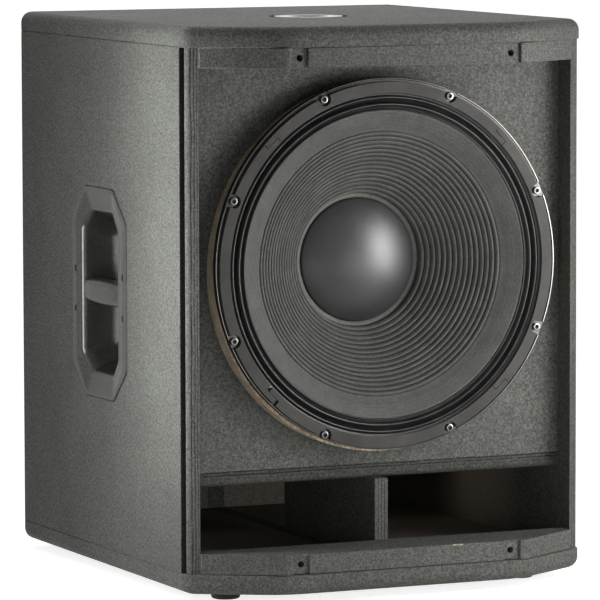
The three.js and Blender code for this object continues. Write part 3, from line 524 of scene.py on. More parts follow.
def paper_parts(look, dark, light, roughness, fuzz):
    """Pressed paper pulp: mottled fibres in colour, gloss and height."""
    fibre = look.noise(420, 5, 0.72, 0.6)
    cloud = look.noise(35, 4, 0.65)
    tone = look.vary(fibre, dark, light)
    look.rough(look.vary(fibre, roughness - 0.08, roughness + 0.12))
    look.bump(fibre, fuzz, 0.3)
    return look.tint(tone, look.ramp(cloud, [(0.32, 0.85), (0.68, 1.12)]))


def cone_look():
    """Cone paper with painted shade in the rib grooves and a slight painted highlight on their crests; paler
    on the flat ring round the dust cap.
    """
    look = Look("cone_paper", specular=0.08)
    base = paper_parts(look, (0.056, 0.058, 0.052), (0.110, 0.113, 0.103), 0.60, 0.45)
    away = look.radius()
    turn = look.times(look.minus(away, RIB_START * MM), math.pi / (RIB_PITCH * MM))
    crest = look.maths("ABSOLUTE", look.maths("SINE", turn))
    ribbed = look.times(look.above(away, RIB_START), look.below(away, RIB_START + RIB_PITCH * RIBS))
    # Painted shade in the rib grooves, with a slight painted highlight on the crests.
    shade = look.mix(ribbed, 1.0, look.ramp(crest, [(0.0, 0.55), (0.75, 1.08)]))
    pale_ring = look.times(look.above(away, DUST_CAP_RING[0]), look.below(away, DUST_CAP_RING[1]))
    shade = look.mix(pale_ring, shade, 1.7)
    pressed = look.maths("SINE", look.times(away, 2 * math.pi / (PRESSED_PITCH * MM)))
    shade = look.tint(shade, look.plus(look.times(pressed, 0.06), 1.0))
    look.colour(look.tint(base, shade))
    return look.material


def dome_look():
    look = Look("dust_cap_paper", specular=0.36)
    look.colour(paper_parts(look, (0.018, 0.0185, 0.018), (0.030, 0.031, 0.030), 0.40, 0.14))
    return look.material


def cloth_look(name, dark, light, roughness, weave=1400.0, specular=0.5):
    """Coated woven cloth: crossing threads under a soft coating."""
    look = Look(name, roughness=roughness, specular=specular)
    x, y, z = look.split()
    warp = look.maths("SINE", look.times(look.plus(x, y), weave * math.pi))
    weft = look.maths("SINE", look.times(look.plus(z, y), weave * math.pi))
    threads = look.times(warp, weft)
    cloud = look.noise(60, 3, 0.6)
    look.colour(look.vary(look.plus(look.times(threads, 0.16), cloud), dark, light))
    look.rough(look.vary(cloud, roughness - 0.06, roughness + 0.08))
    look.bump(threads, 0.18, 0.12)
    return look.material


def moulded_look(name, dark, light, roughness, grain=1100.0, height=0.18, specular=0.5, seams=()):
    """Moulded plastic, rubber or paint with a fine grain, a few scuffs and level seams at given heights."""
    look = Look(name, roughness=roughness, specular=specular)
    fine = look.cells(grain)
    cloud = look.noise(28, 3, 0.6)
    scuff = look.noise(1.0, 4, 0.7, 1.2, vector=look.stretched((120, 30, 240)))
    tone = look.mix(look.vary(cloud, 0.0, 1.0), dark, light)
    tone = look.tint(tone, look.ramp(fine, [(0.0, 0.86), (0.7, 1.1)]))
    z = look.split()[2]
    for seam in seams:
        away = look.maths("ABSOLUTE", look.minus(z, (seam + FOOT) * MM))
        tone = look.mix(look.below(away, 0.45), tone, 0.006)
    look.colour(tone)
    look.rough(look.mix(0.3, look.ramp(fine, [(0.0, roughness - 0.06), (0.7, roughness + 0.1)]),
                        look.ramp(scuff, [(0.45, roughness), (0.6, roughness - 0.12)])))
    look.bump(fine, 0.35, height)
    return look.material


PAINT = paint()
# The side boards' paint with painted shade for their slots.
SLOT = slot_painted_shade()
RAW = raw_wood()
RIM = bare_metal("bright_rim", (0.065, 0.064, 0.061), 0.20)
FLANGE = bare_metal("cast_flange", (0.035, 0.035, 0.033), 0.28)
# Near-black finish for the frame's outer faces all round; at the left it is also painted shade on the bead's
# outer bevel.
DARK_EDGE_AND_SHADE = moulded_look("dark_cast_edge_and_painted_shade", (0.010,) * 3, (0.018, 0.018, 0.017), 0.6, specular=0.08)
STEEL = bare_metal("plated_steel", (0.50, 0.50, 0.49), 0.26, (60, 60, 1800))
BOLT = bare_metal("black_plated_steel", (0.10, 0.10, 0.097), 0.28)
SCREW = bare_metal("dark_screw_steel", (0.06,) * 3, 0.42)
IRON = bare_metal("dull_iron", (0.30,) * 3, 0.5, (400, 60, 400))
# Dull ferrite for the magnet; the same dark finish is painted shade in the bolt heads' hex sockets and in
# the pole socket's bore and chamfer ring.
FERRITE_AND_HOLE_SHADE = moulded_look("ferrite", (0.020, 0.020, 0.021), (0.035, 0.035, 0.036), 0.75, 700.0, 0.3)
COPPER = bare_metal("lacquered_copper", (0.42, 0.20, 0.09), 0.35, (200, 2600, 200))
GASKET = gasket_look()
CONE = cone_look()
DOME = dome_look()
SURROUND = cloth_look("coated_surround_cloth", (0.007, 0.007, 0.0065), (0.014, 0.014, 0.013), 0.34,
                      specular=0.3)
SPIDER = cloth_look("resin_dipped_cloth", (0.16, 0.09, 0.035), (0.28, 0.17, 0.07), 0.7, 900.0, 0.25)
HANDLE = moulded_look("handle_plastic", (0.022, 0.023, 0.019), (0.031, 0.0325, 0.026), 0.25,
                      specular=0.15, seams=(378.0, 306.0))
# Darker plastic for the handle's deep pockets: painted shade, glossy for their soft reflections.
HANDLE_POCKET_SHADE = moulded_look("handle_pocket_painted_shade", (0.010, 0.010, 0.009), (0.016, 0.016, 0.014), 0.26,
                             specular=0.45)
PLASTIC = moulded_look("panel_plastic", (0.018,) * 3, (0.034,) * 3, 0.45)
RUBBER = moulded_look("foot_rubber", (0.012,) * 3, (0.026,) * 3, 0.75, 800.0, 0.25, 0.3)


# Cabinet shell


def facet(x):
    return (abs(x) - FACET) / (WIDTH / 2 - FACET) * SETBACK


def cap(inner, way):
    """The top board (way 1) or the base board (way -1), from its inner face out to its rounded edge."""
    half = WIDTH / 2
    corners = [
        (-FACET, 0.0, 110.0, 12), (FACET, 0.0, 110.0, 12),
        (half, SETBACK, 22.0, 12), (half, DEPTH, CORNER_ROUND, 12),
        (-half, DEPTH, CORNER_ROUND, 12), (-half, SETBACK, 22.0, 12),
    ]
    steps = 10
    levels = [(1.2, 0.0), (0.0, 1.2)]
    for k in range(steps + 1):
        angle = k / steps * math.pi / 2
        rise = CAP - EDGE_ROUND + EDGE_ROUND * math.sin(angle)
        levels.append((EDGE_ROUND * (1 - math.cos(angle)), rise))
    return loft([[(x, y, inner + way * rise) for x, y in rounded(corners, inset)] for inset, rise in levels])


def make_caps():
    top = build("top_board", cap(HEIGHT - CAP, 1), PAINT)
    plate = rod(43.3, 96, "z", HEIGHT - 3.3, HEIGHT + 5, 0, SOCKET_Y)
    tube = rod(21.3, 64, "z", HEIGHT - CAP - 5, HEIGHT, 0, SOCKET_Y)
    place(carve(top, PAINT, plate, tube), "top_panel")
    base = build("base_board", cap(CAP, -1), PAINT)
    place(base, "bottom_panel")


def octagon(width, height, top, shoulder, grow=0.0, radius=6.0, steps=3):
    side, end = width / 2 + grow, height / 2 + grow
    flat, bend = top / 2 + grow / 2, shoulder / 2 + grow / 2
    places = [(side, -bend), (side, bend), (flat, end), (-flat, end)]
    places += [(-side, bend), (-side, -bend), (-flat, -end), (flat, -end)]
    return rounded([(a, b, radius, steps) for a, b in places])


# Octagons of the handle: width, height, length of the flat ends and of the flat sides
FRAME = (175.0, 262.0, 90.0, 182.0)
FUNNEL = (134.0, 246.0, 84.0, 170.0)
FLOOR = (104.0, 180.0, 60.0, 138.0)
SLOPE = (150.0, 254.0, 88.0, 176.0)
LIP = (125.0, 213.0, 72.0, 162.0)


def on_side(sign, outline, depth):
    """Points of an outline drawn on the outer face of a side board, at a depth behind it."""
    return [(sign * (WIDTH / 2 - depth), HANDLE_Y + a, HANDLE_Z + b) for a, b in outline]


def make_sides():
    inner, outer = WIDTH / 2 - SIDE, WIDTH / 2
    recessed = outer - RECESS
    slot_floor = recessed - SLOT_DEPTH
    front = facet(recessed) + NOSE
    for name, sign in SIDES:
        nose = rounded([
            (inner, facet(inner) + NOSE, 0.01, 1), (recessed, front, 8.0, 10),
            (recessed, SLOT_FRONT, 0.8, 3), (slot_floor, SLOT_FRONT, 0.01, 1), (inner, SLOT_FRONT, 0.01, 1),
        ])
        back = rounded([
            (slot_floor, SLOT_BACK, 0.01, 1), (outer, SLOT_BACK, 1.0, 3),
            (outer, DEPTH, CORNER_ROUND, 12), (slot_floor, DEPTH, 0.01, 1),
        ])
        outline = [p for p in nose if p[0] >= slot_floor - 1 or p[1] <= SLOT_FRONT - 0.6]
        outline += [p for p in back if p[0] > slot_floor - 0.5] + [(inner, DEPTH)]
        shape = prism([(sign * a, b) for a, b in outline], "z", CAP, HEIGHT - CAP)
        edge = painted_ply(f"{name}_side_ply_edge", "x", sign * inner, sign * SIDE,
                           [(0.09, 0.7, 0.7), (0.25, 0.8, 0.9), (0.44, 1.0, 1.0)])
        board = build(f"{name}_side_board", shape, [PAINT, edge, SLOT])
        for polygon in board.data.polygons:
            middle = polygon.center
            upright = abs(polygon.normal.z) < 0.5
            in_slot = at(0, SLOT_FRONT + 0.2, 0).y < middle.y < at(0, SLOT_BACK + 0.2, 0).y
            # Upright faces inside the slot take the paint with painted shade.
            if upright and in_slot and abs(middle.x) > (slot_floor - 1) * MM:
                polygon.material_index = 2
            on_nose = middle.y < at(0, front + 1, 0).y and abs(middle.x) > (inner + 0.5) * MM
            if upright and on_nose and polygon.normal.y < -0.55:
                polygon.material_index = 1
        hole = loft([on_side(sign, octagon(*FUNNEL, grow=3.3), d) for d in (-5.0, SIDE + 5)])
        rebate = loft([on_side(sign, octagon(*FRAME, grow=0.9, radius=9), d) for d in (-5.0, 4.3)])
        carve(board, PAINT, hole, rebate)
        soften(board, 0.5, 2, 60)
        place(board, f"{name}_side_panel")


def input_plate(gap=0.0):
    """Outline of the input panel's plate, grown by a gap."""
    corners = box_outline(-75 - gap, 75 + gap, INPUT_Z - 55 - gap, INPUT_Z + 55 + gap)
    return rounded([(x, z, 8 + gap, 6) for x, z in corners])


def input_box(across, up, front, back):
    return prism(box_outline(-across, across, INPUT_Z - up, INPUT_Z + up), "y", front, back)


def mark_front(board, limit):
    """Gives the faces that look to the front the board's second material."""
    for polygon in board.data.polygons:
        if polygon.normal.y < limit:
            polygon.material_index = 1
    return board


def make_boards():
    inner = WIDTH / 2 - SIDE
    rear = build("rear_board", block(-inner, inner, DEPTH - SIDE, DEPTH, CAP, HEIGHT - CAP), PAINT)
    plate = prism(input_plate(0.3), "y", DEPTH - 3.3, DEPTH + 5)
    dish = input_box(55.3, 36.3, DEPTH - SIDE - 5, DEPTH)
    place(soften(carve(rear, PAINT, plate, dish), 0.5, 2, 60), "rear_panel")
    face = block(-inner, inner, BAFFLE_Y, BAFFLE_Y + BAFFLE, SHELF_TOP, HEIGHT - CAP)
    hole = rod(HOLE, FINE, "y", BAFFLE_Y - 5, BAFFLE_Y + BAFFLE + 5, 0, DRIVER_Z)
    place(carve(build("baffle_board", face, PAINT), PAINT, hole), "baffle")
    lines = [(0.93, 1.0, 1.0), (0.72, 1.0, 1.0), (0.48, 0.6, 0.4)]
    edge = painted_ply("shelf_ply_edge", "z", SHELF_BASE + FOOT, 18.0, lines, 0.6)
    outline = [(BAFFLE_Y, SHELF_TOP)]
    for k in range(9):
        angle = k / 8 * math.pi / 2
        back, drop = SHELF_EASE * (1 - math.cos(angle)), SHELF_EASE * (1 - math.sin(angle))
        outline.append((BAFFLE_Y + back, SHELF_BASE + drop))
    outline += [(SHELF_END, SHELF_BASE), (SHELF_END, SHELF_TOP)]
    shelf = build("port_shelf_board", prism(outline, "x", -inner, inner), [PAINT, edge])
    place(mark_front(shelf, -0.3), "port_shelf")
    lines = [(0.25, 0.8, 0.8), (0.5, 0.7, 0.9), (0.74, 0.8, 0.9)]
    edge = painted_ply("divider_ply_edge", "x", -9.0, 18.0, lines)
    divider = block(-9, 9, BATTEN_DEPTH + 0.3, SHELF_END, CAP, SHELF_BASE)
    divider = mark_front(build("port_divider_board", divider, [PAINT, edge]), -0.5)
    place(soften(divider, 1.0, 2, 60), "port_divider")


def make_battens():
    inner = WIDTH / 2 - SIDE
    end = facet(inner) + 1
    outline = [(-FACET, 1), (FACET, 1), (inner, end), (inner, BATTEN_DEPTH)]
    outline += [(-inner, BATTEN_DEPTH), (-inner, end)]
    for name, low in (("upper", HEIGHT - CAP - BATTEN), ("lower", CAP)):
        seam = 0.8 if name == "lower" else 0.0
        shape = prism(outline, "z", low + seam, low + BATTEN)
        batten = build(f"{name}_grille_batten_board", shape, PAINT)
        cuts = []
        for sign in (-1, 1):
            notch = [(-14, -0.1), (12, -0.1), (10, 3.2), (10, 5), (-9.5, 5), (-10, 4.2)]
            notch = [(sign * NOTCH_X + a, b) for a, b in notch]
            cuts.append(prism(notch, "z", low - 5, low + BATTEN + 5))
            cuts.append(rod(3.8, 32, "y", 0, 30, sign * BATTEN_HOLE_X, low + BATTEN / 2))
        if name == "lower":
            chip = block(61, 75, 0, 2.2, low + BATTEN - 1.3, low + BATTEN + 1)
            cuts.append((chip, RAW))
        carve(batten, PAINT, *cuts)
        place(soften(batten, 1.1, 3, 60), f"{name}_grille_batten")


# Driver


def cone_depth(radius):
    share = radius / CONE_EDGE
    return 62.8 + CONE_EDGE * (1.38 * (1 - share) - 0.4458 * (1 - share * share))


def make_cone():
    front = [(r, cone_depth(r)) for r in (CONE_NECK, 70.0)]
    front += [(76.8, 147.6), (77.2, 146.6), (81.0, 145.4), (RIB_START, 144.9)]
    per_rib = 12
    for i in range(1, RIBS * per_rib + 1):
        radius = RIB_START + RIB_PITCH * i / per_rib
        lift = abs(math.sin(math.pi * i / per_rib)) ** 0.8
        front.append((radius, cone_depth(radius) + 0.5 - 2.5 * lift))
    dips = [(162.0, 0.0), (164.5, 0.0), (166.5, 0.5), (168.5, 0.0), (174.0, 0.0), (180.0, 0.0), (185.0, 0.0)]
    dips += [(187.2, 0.1), (CONE_EDGE, 0.6)]
    front += [(r, cone_depth(r) + dip) for r, dip in dips]
    back = [(r, cone_depth(r) + 2.2) for r in (CONE_EDGE, 150.0, 130.0, 110.0, 95.0)]
    back += [(80.0, 148.6), (CONE_NECK, cone_depth(CONE_NECK) + 2.2)]
    piece = build("paper_cone", revolve(front + back), CONE, smooth=60)
    place(piece, "cone", body="cone_assembly")
    reach, bulge, edge = 76.4, 26.0, 147.0
    curve = (reach ** 2 + bulge ** 2) / (2 * bulge)
    dome = []
    for i in range(33):
        radius = reach * i / 32
        dome.append((radius or AXIS, edge - 27.0 + curve - math.sqrt(curve ** 2 - radius ** 2)))
    inside = [(r, y + 1.2) for r, y in reversed(dome)]
    piece = build("dome_cap", revolve(dome + inside, FINE // 2), DOME, smooth=60)
    place(piece, "dust_cap", body="cone_assembly")


def make_surround():
    valleys = [(191.0, 65.0), (199.9, 66.6), (207.7, 62.2)]
    front = [(188.0, 61.8), (188.4, 61.5), (188.9, 61.7), (189.4, 63.2)]
    for (start, low), (end, high) in zip(valleys, valleys[1:]):
        for i in range(24):
            share = i / 24
            ground = low + (high - low) * share
            roll = (60.2 - ground) * math.sin(math.pi * share) ** 1.7
            front.append((start + (end - start) * share, ground + roll))
    front += [valleys[-1], (208.4, 61.6), (209.2, 61.0), (212.0, 61.0)]
    back = [(r, y + 1.0) for r, y in reversed(front)]
    piece = build("rolled_surround", revolve(front + back), SURROUND, smooth=60)
    place(piece, "surround")
    front = []
    for i in range(37):
        radius = CONE_NECK + (88.0 - CONE_NECK) * i / 36
        front.append((radius, 184.8 - 2.4 * math.sin(math.pi * i / 12) ** 2))
    front.append((97.0, 184.8))
    back = [(r, y + 0.9) for r, y in reversed(front)]
    piece = build("corrugated_spider", revolve(front + back, 96), SPIDER, smooth=60)
    place(piece, "spider")


def worn_edge(kept, change):
    """Moves a round edge at the lower left by the change, full at 5 mm outside the radius that is kept."""
    def move(x, y, z):
        reach = math.hypot(x, z - DRIVER_Z)
        facing = math.cos(math.atan2(z - DRIVER_Z, x) - math.radians(240))
        if reach < kept or facing < 0:
            return x, y, z
        more = 1.0 + change * facing ** 1.5 * (reach - kept) / 5.0 / reach
        return x * more, y, DRIVER_Z + (z - DRIVER_Z) * more

    return move


def make_frame():
    profile = [(208.5, 62.4), (212.3, 62.4), (212.3, 61.0), (227.2, 61.0), (FRAME_EDGE, 61.8)]
    profile += [(FRAME_EDGE, 67.0), (201.5, 67.0), (201.5, 64.0), (208.5, 64.0)]
    ring = revolve(profile, marks=[0, 0, 0, 2, 2, 0, 0, 0, 0])
    bead = [(225.5, 61.2), (225.6, 60.1), (226.2, 59.5), (227.4, 59.5)]
    bead += [(FRAME_EDGE, 60.1), (FRAME_EDGE, 61.8)]
    gap = 8.6 / FRAME_EDGE
    step = 2 * math.pi / BOLTS
    for angle, _, _ in spread(BOLTS, BOLT_CIRCLE):
        # At the left the bead's outer bevel takes the near-black finish instead of the bright rim: painted
        # shade on the side away from the lamps.
        outer_bevel = 2 if math.cos(angle + step / 2) < -0.2 else 1
        span = (angle + gap, angle + step - gap)
        ring.join(revolve(bead, 24, span=span, marks=[1, 1, 1, outer_bevel, 2, 1]))
    hub = [(84, 186), (104, 186), (104, 212), (62, 212), (62, 206), (98, 206), (98, 192), (84, 192)]
    ring.join(revolve(hub, 96))
    arm = prism([(201.8, 66.7), (211.5, 66.7), (211.5, 90), (103.7, 199), (102, 186.3)], "z", -8, 8)
    for i in range(8):
        angle = i / 8 * 2 * math.pi
        c, s = math.cos(angle), math.sin(angle)
        ring.join(arm.moved(lambda x, y, z: (x * c - z * s, y, DRIVER_Z + x * s + z * c)))
    ring.join(block(-13, 13, 200, 212, DRIVER_Z - 118, DRIVER_Z - 101))
    piece = build("cast_frame", ring.moved(worn_edge(223.0, -3.1)), [FLANGE, RIM, DARK_EDGE_AND_SHADE])
    place(piece, "driver_frame")
    spacer = revolve([(HOLE, 67.3), (223.2, 67.3), (223.5, 67.6), (223.5, 89.7), (HOLE, 89.7)])
    spacer = spacer.moved(worn_edge(218.5, 4.9))
    place(build("plywood_spacer", spacer, RAW), "spacer_ring")


def arc(radius, first, last, steps):
    angles = [first + (last - first) * i / steps for i in range(steps + 1)]
    return [(radius * math.cos(a), radius * math.sin(a)) for a in angles]


def gasket_outline(index):
    """One quarter of the gasket with its stepped ends and its two bolt pockets."""
    middle = index * math.pi / 2
    half, step, shy = math.pi / 4, math.radians(2.4), 0.3 / 224.3
    wide = 3.4 / 224.3 if index == 2 else shy
    outer, inner, pocket, play = 222.8, 209.1, 8.0, 0.15
    start, end = middle - half + step + shy, middle + half + step - wide
    low, high = middle - half - step + shy, middle + half - step - wide
    made = []
    reach = math.asin(pocket / outer)
    stops = [middle - math.pi / 8, middle + math.pi / 8]
    spans = [(start, stops[0] - reach), (stops[0] + reach, stops[1] - reach), (stops[1] + reach, end)]
    for k, (a, b) in enumerate(spans):
        made += arc(outer, a, b, max(2, int((b - a) / (2 * math.pi) * FINE)))
        if k < 2:
            c, s = math.cos(stops[k]), math.sin(stops[k])
            for i in range(17):
                turn = -math.pi / 2 - math.pi * i / 16
                u, v = BOLT_CIRCLE + pocket * math.cos(turn), pocket * math.sin(turn)
                made.append((u * c - v * s, u * s + v * c))
    mid = (outer + inner) / 2
    made += arc(mid + play, end, high, 1)
    made += arc(inner, high, low, FINE // 4)
    made += arc(mid - play, low, start, 1)
    return made


def make_gasket():
    for i in range(4):
        outline = [(a, DRIVER_Z + b) for a, b in gasket_outline(i)]
        piece = build(f"gasket_segment_{i + 1}", prism(outline, "y", 56.0, 60.7), GASKET)
        place(soften(piece, 0.5, 2, 50), f"gasket_quarter_{(-i) % 4 + 1}")


def make_bolts():
    profile = [(AXIS, 0), (4, 0), (4.55, 0.25), (4.8, 0.8), (4.8, 3.5), (2.5, 3.5), (2.5, 40), (AXIS, 40)]
    head = revolve(profile, 40, z=0.0)
    for i, (_, x, z) in enumerate(spread(BOLTS, BOLT_CIRCLE)):
        shape = head.moved(lambda a, b, c: (a + x, b + 57.2, c + z + DRIVER_Z))
        hexagon = prism([(x + a, DRIVER_Z + z + b) for a, b in circle(3.0, 6)], "y", 55.0, 60.2)
        # The hex socket's cut faces take the dark ferrite finish: painted shade in the recess.
        piece = carve(build(f"cap_screw_{i + 1}", shape, BOLT), FERRITE_AND_HOLE_SHADE, hexagon)
        place(piece, f"driver_bolt_{i + 1}")


# Handles


def make_handles():
    lip_round, lip_back, lip_dish, bowl_round = 7.0, 0.6, 3.4, 30.0
    for name, sign in SIDES:
        rings = []

        def ring(size, depth, grow=0.0, radius=16.0, back=0.0, dish=0.0):
            """Adds one outline of the tub; dish sinks its two ends."""
            made = []
            for a, b in octagon(*size, grow=grow, radius=radius, steps=6):
                sunk = depth + dish * min(1.0, max(0.0, (abs(b) - 66.0) / 40.0)) ** 1.5
                made.append((sign * (WIDTH / 2 - sunk), HANDLE_Y + a + back, HANDLE_Z + b))
            rings.append(made)

        ring(FLOOR, 63.0, 3.0)
        ring(SLOPE, 18.0, -5.0)
        ring(SLOPE, 4.0, -5.0)
        ring(FRAME, 4.0)
        ring(FRAME, -0.4)
        ring(FRAME, -0.9, -0.5)
        ring(FRAME, -1.0, -1.2)
        ring(FRAME, -1.0, -2.4)
        for share in (0.0, 0.12, 0.3, 0.5, 0.7, 0.88, 1.0):
            size = [a + (b - a) * share for a, b in zip(SLOPE, LIP)]
            depth = -1.0 + 0.4 * (share ** 2 * (3 - 2 * share))
            ring(size, depth, back=lip_back * share, dish=lip_dish * share)
        for k in range(1, 8):
            angle = k / 7 * math.pi / 2
            depth = -0.6 + lip_round * (1 - math.cos(angle))
            ring(LIP, depth, -lip_round * math.sin(angle), radius=12.0, back=lip_back, dish=lip_dish)
        for k in range(10):
            angle = k / 9 * math.pi / 2
            grow = 1.0 - bowl_round * (1 - math.cos(angle))
            ring(FLOOR, 30.0 + bowl_round * math.sin(angle), grow, radius=14.0)
        # The bowl's bands take the darker pocket plastic: painted shade in the recess.
        shape = loft(rings, [0] * 21 + [1] * 10)
        piece = build(f"{name}_handle_tub", shape, [HANDLE, HANDLE_POCKET_SHADE], smooth=38)
        ends = sorted((sign * (WIDTH / 2 + 5), sign * (WIDTH / 2 - 2.4)))
        wells = []
        for across in (-76.5, 76.5):
            for up in (-25, 25):
                wells.append(rod(4.1, 24, "x", *ends, HANDLE_Y + across, HANDLE_Z + up))
        place(carve(piece, HANDLE, *wells), f"{name}_handle")
        reach = LIP[0] / 2 + 2
        sections = []
        for i in range(33):
            share = 2 * i / 32 - 1
            flare = max(0.0, abs(share) - 0.72) / 0.28
            tall = 15.2 - 2.4 * share ** 2 + 7.0 * flare ** 2
            face = 0.4 + 3.0 * share ** 4
            corners = [(25.5, -tall, 8, 6), (25.5, tall, 8, 6), (face, tall, 7, 8), (face, -tall, 7, 8)]
            y = HANDLE_Y + lip_back + reach * share
            sections.append([(sign * (WIDTH / 2 - d), y, HANDLE_Z + b) for d, b in rounded(corners)])
        grip = build(f"{name}_handle_grip", loft(sections), HANDLE, smooth=50)
        place(grip, f"{name}_handle")


# Pole socket, feet and input panel


def make_pole_socket():
    top = HEIGHT
    profile = [(AXIS, top - 93), (21, top - 93), (21, top - 3), (50, top - 3), (50, top - 0.6), (49.4, top)]
    profile += [(24, top), (22.5, top - 0.7), (19.5, top - 1.1), (18, top - 2.5), (18, top - 90)]
    profile += [(AXIS, top - 90)]
    # The chamfer ring and the bore take the dark ferrite finish: painted shade in the hole.
    shape = revolve(profile, 96, upright=(0.0, SOCKET_Y), marks=[0] * 6 + [1] * 6)
    places = [(x, SOCKET_Y + y) for _, x, y in spread(4, 39.0)]
    sink = [(AXIS, top - 2), (2.3, top - 2), (4.3, top + 0.01), (4.3, top + 4), (AXIS, top + 4)]
    sinks = [revolve(sink, 32, upright=spot) for spot in places]
    piece = carve(build("steel_pole_socket", shape, [STEEL, FERRITE_AND_HOLE_SHADE]), STEEL, *sinks)
    place(piece, "pole_socket")
    screw = [(AXIS, top - 18), (2, top - 18), (2, top - 2), (3.9, top - 0.3), (3.6, top - 0.1)]
    screw += [(AXIS, top - 0.1)]
    for i, (x, y) in enumerate(places):
        piece = build(f"socket_screw_{i + 1}", revolve(screw, 32, upright=(x, y)), SCREW)
        bars = ((2.2, 0.45), (0.45, 2.2))
        cross = [block(x - a, x + a, y - b, y + b, top - 1.4, top + 1) for a, b in bars]
        place(carve(piece, SCREW, *cross), f"pole_socket_screw_{i + 1}")


def make_feet():
    profile = [(AXIS, -0.3), (19, -0.3), (19, -5), (17.2, -10.5), (16.2, -11.6), (15, -FOOT), (8, -FOOT)]
    profile += [(7, -11.4), (7, -5), (AXIS, -5)]
    for row, y in (("front", FOOT_Y), ("rear", DEPTH - FOOT_Y)):
        for name, sign in SIDES:
            shape = revolve(profile, 64, upright=(sign * (WIDTH / 2 - FOOT_X), y))
            piece = build(f"{row}_{name}_rubber_foot", shape, RUBBER)
            place(piece, f"{row}_{name}_foot")


def make_input():
    back = DEPTH
    plate = build("input_plate", prism(input_plate(), "y", back - 3, back), PLASTIC)
    holes = []
    for across in (-64, 64):
        for up in (-44, 44):
            holes.append(rod(3.9, 24, "y", back - 2, back + 4, across, INPUT_Z + up))
    carve(plate, PLASTIC, input_box(52, 33, back - 8, back + 5), *holes)
    place(soften(plate, 0.5, 2, 50), "input_panel")
    dish = build("input_dish", input_box(55, 36, back - 37, back - 0.5), PLASTIC)
    wells = [rod(12.8, 48, "y", back - 45, back - 30, x, INPUT_Z) for x in (-23, 23)]
    carve(dish, PLASTIC, input_box(52, 33, back - 34, back + 5), *wells)
    place(soften(dish, 0.5, 2, 60), "input_panel")
    face = back - 34 + 2.8
    profile = [(AXIS, face - 24.8), (12.5, face - 24.8), (12.5, face - 2.5), (16, face - 2.5)]
    profile += [(16, face - 0.5), (15.5, face), (11, face), (10.4, face - 0.6), (10.4, face - 15)]
    profile += [(6.6, face - 15), (6.6, face - 0.8), (5.8, face), (AXIS, face)]
    for i, x in enumerate((-23, 23)):
        piece = build(f"locking_socket_{i + 1}", revolve(profile, 64, z=INPUT_Z, x=x), PLASTIC)
        key = block(x - 12, x + 12, face - 9, face + 2, INPUT_Z - 1.8, INPUT_Z + 1.8)
        place(carve(piece, PLASTIC, key), f"speaker_socket_{i + 1}")


def finish_plain_nodes():
    """CAD nodes that stay as they are and only get their finish."""
    kept = {
        "cross_brace": RAW, "voice_coil": COPPER, "top_plate": IRON, "magnet": FERRITE_AND_HOLE_SHADE, "pole_piece": IRON,
        "speaker_lead": RUBBER,
    }
    for group in ("left_handle", "right_handle", "input_panel"):
        for i in range(4):
            kept[f"{group}_screw_{i + 1}"] = SCREW
    for name, material in kept.items():
        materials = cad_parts[name].data.materials
        materials.clear()
        materials.append(material)


# Camera, floor and light

# What the camera sees: side, focal length and optical middle of the picture in pixels, sensor and eye in mm
PICTURE, FOCAL, OPTICAL_MIDDLE = 600.0, 5008.17, (308.73, 293.64)
SENSOR, EYE = 36.0, (-2596.39, -5410.88, 932.07)
YAW, PITCH, ROLL = -24.49, 5.46, -0.13

AMBIENT = 0.055
FLOOR_GLOW = 0.82
# Name, place, aim, size and power
LAMPS = [
    ("overhead", (0.0, 0.3, 1.5), (0, 0.1, 0.69), (1.0, 1.0), 8.8),
    ("left_strip", (-0.42, -0.20, 0.46), (-0.2, -0.20, 0.46), (0.05, 0.6), 1.2),
    ("left_panel", (-0.60, -0.16, 0.42), (-0.2, -0.16, 0.42), (0.10, 0.8), 1.53),
    ("left_low", (-0.75, -1.15, 0.15), (0, -0.2, 0.25), (0.25, 0.25), 1.5),
    ("front_low", (0.3, -1.3, 0.20), (0, 0, 0.2), (0.8, 0.2), 3.4),
    ("right_key", (0.45, -0.72, 0.50), (0.15, -0.2, 0.40), (0.2, 0.3), 2.0),
    ("right_wide", (0.95, -1.05, 0.58), (0, -0.16, 0.40), (0.60, 1.0), 8.2),
]
# Panels that show only as reflections on glossy parts
SHEENS = [
    ("driver_sheen", (0.58, -0.67, 0.49), (0, -0.16, 0.40), (0.34, 0.56), 13.5),
    ("handle_sheen", (-1.0, 0.0, 0.35), (-0.26, 0.08, 0.38), (0.36, 0.58), 34.0),
]


def make_camera():
    yaw, pitch, roll = (math.radians(a) for a in (YAW, PITCH, ROLL))
    forward = Vector((-math.sin(yaw) * math.cos(pitch), math.cos(yaw) * math.cos(pitch), -math.sin(pitch)))
    right = Vector((math.cos(yaw), math.sin(yaw), 0.0))
    up = right.cross(forward)
    across = right * math.cos(roll) + up * math.sin(roll)
    upright = up * math.cos(roll) - right * math.sin(roll)
    camera = bpy.data.cameras.new("camera")
    camera.sensor_width = SENSOR
    camera.lens = SENSOR * FOCAL / PICTURE
    camera.shift_x = (PICTURE / 2 - OPTICAL_MIDDLE[0]) / PICTURE
    camera.shift_y = (OPTICAL_MIDDLE[1] - PICTURE / 2) / PICTURE
    camera.clip_start, camera.clip_end = 0.5, 60.0
    holder = bpy.data.objects.new("camera", camera)
    bpy.context.scene.collection.objects.link(holder)
    turn = Matrix((across, upright, -forward)).transposed().to_4x4()
    holder.matrix_world = Matrix.Translation(at(*EYE)) @ turn
    bpy.context.scene.camera = holder


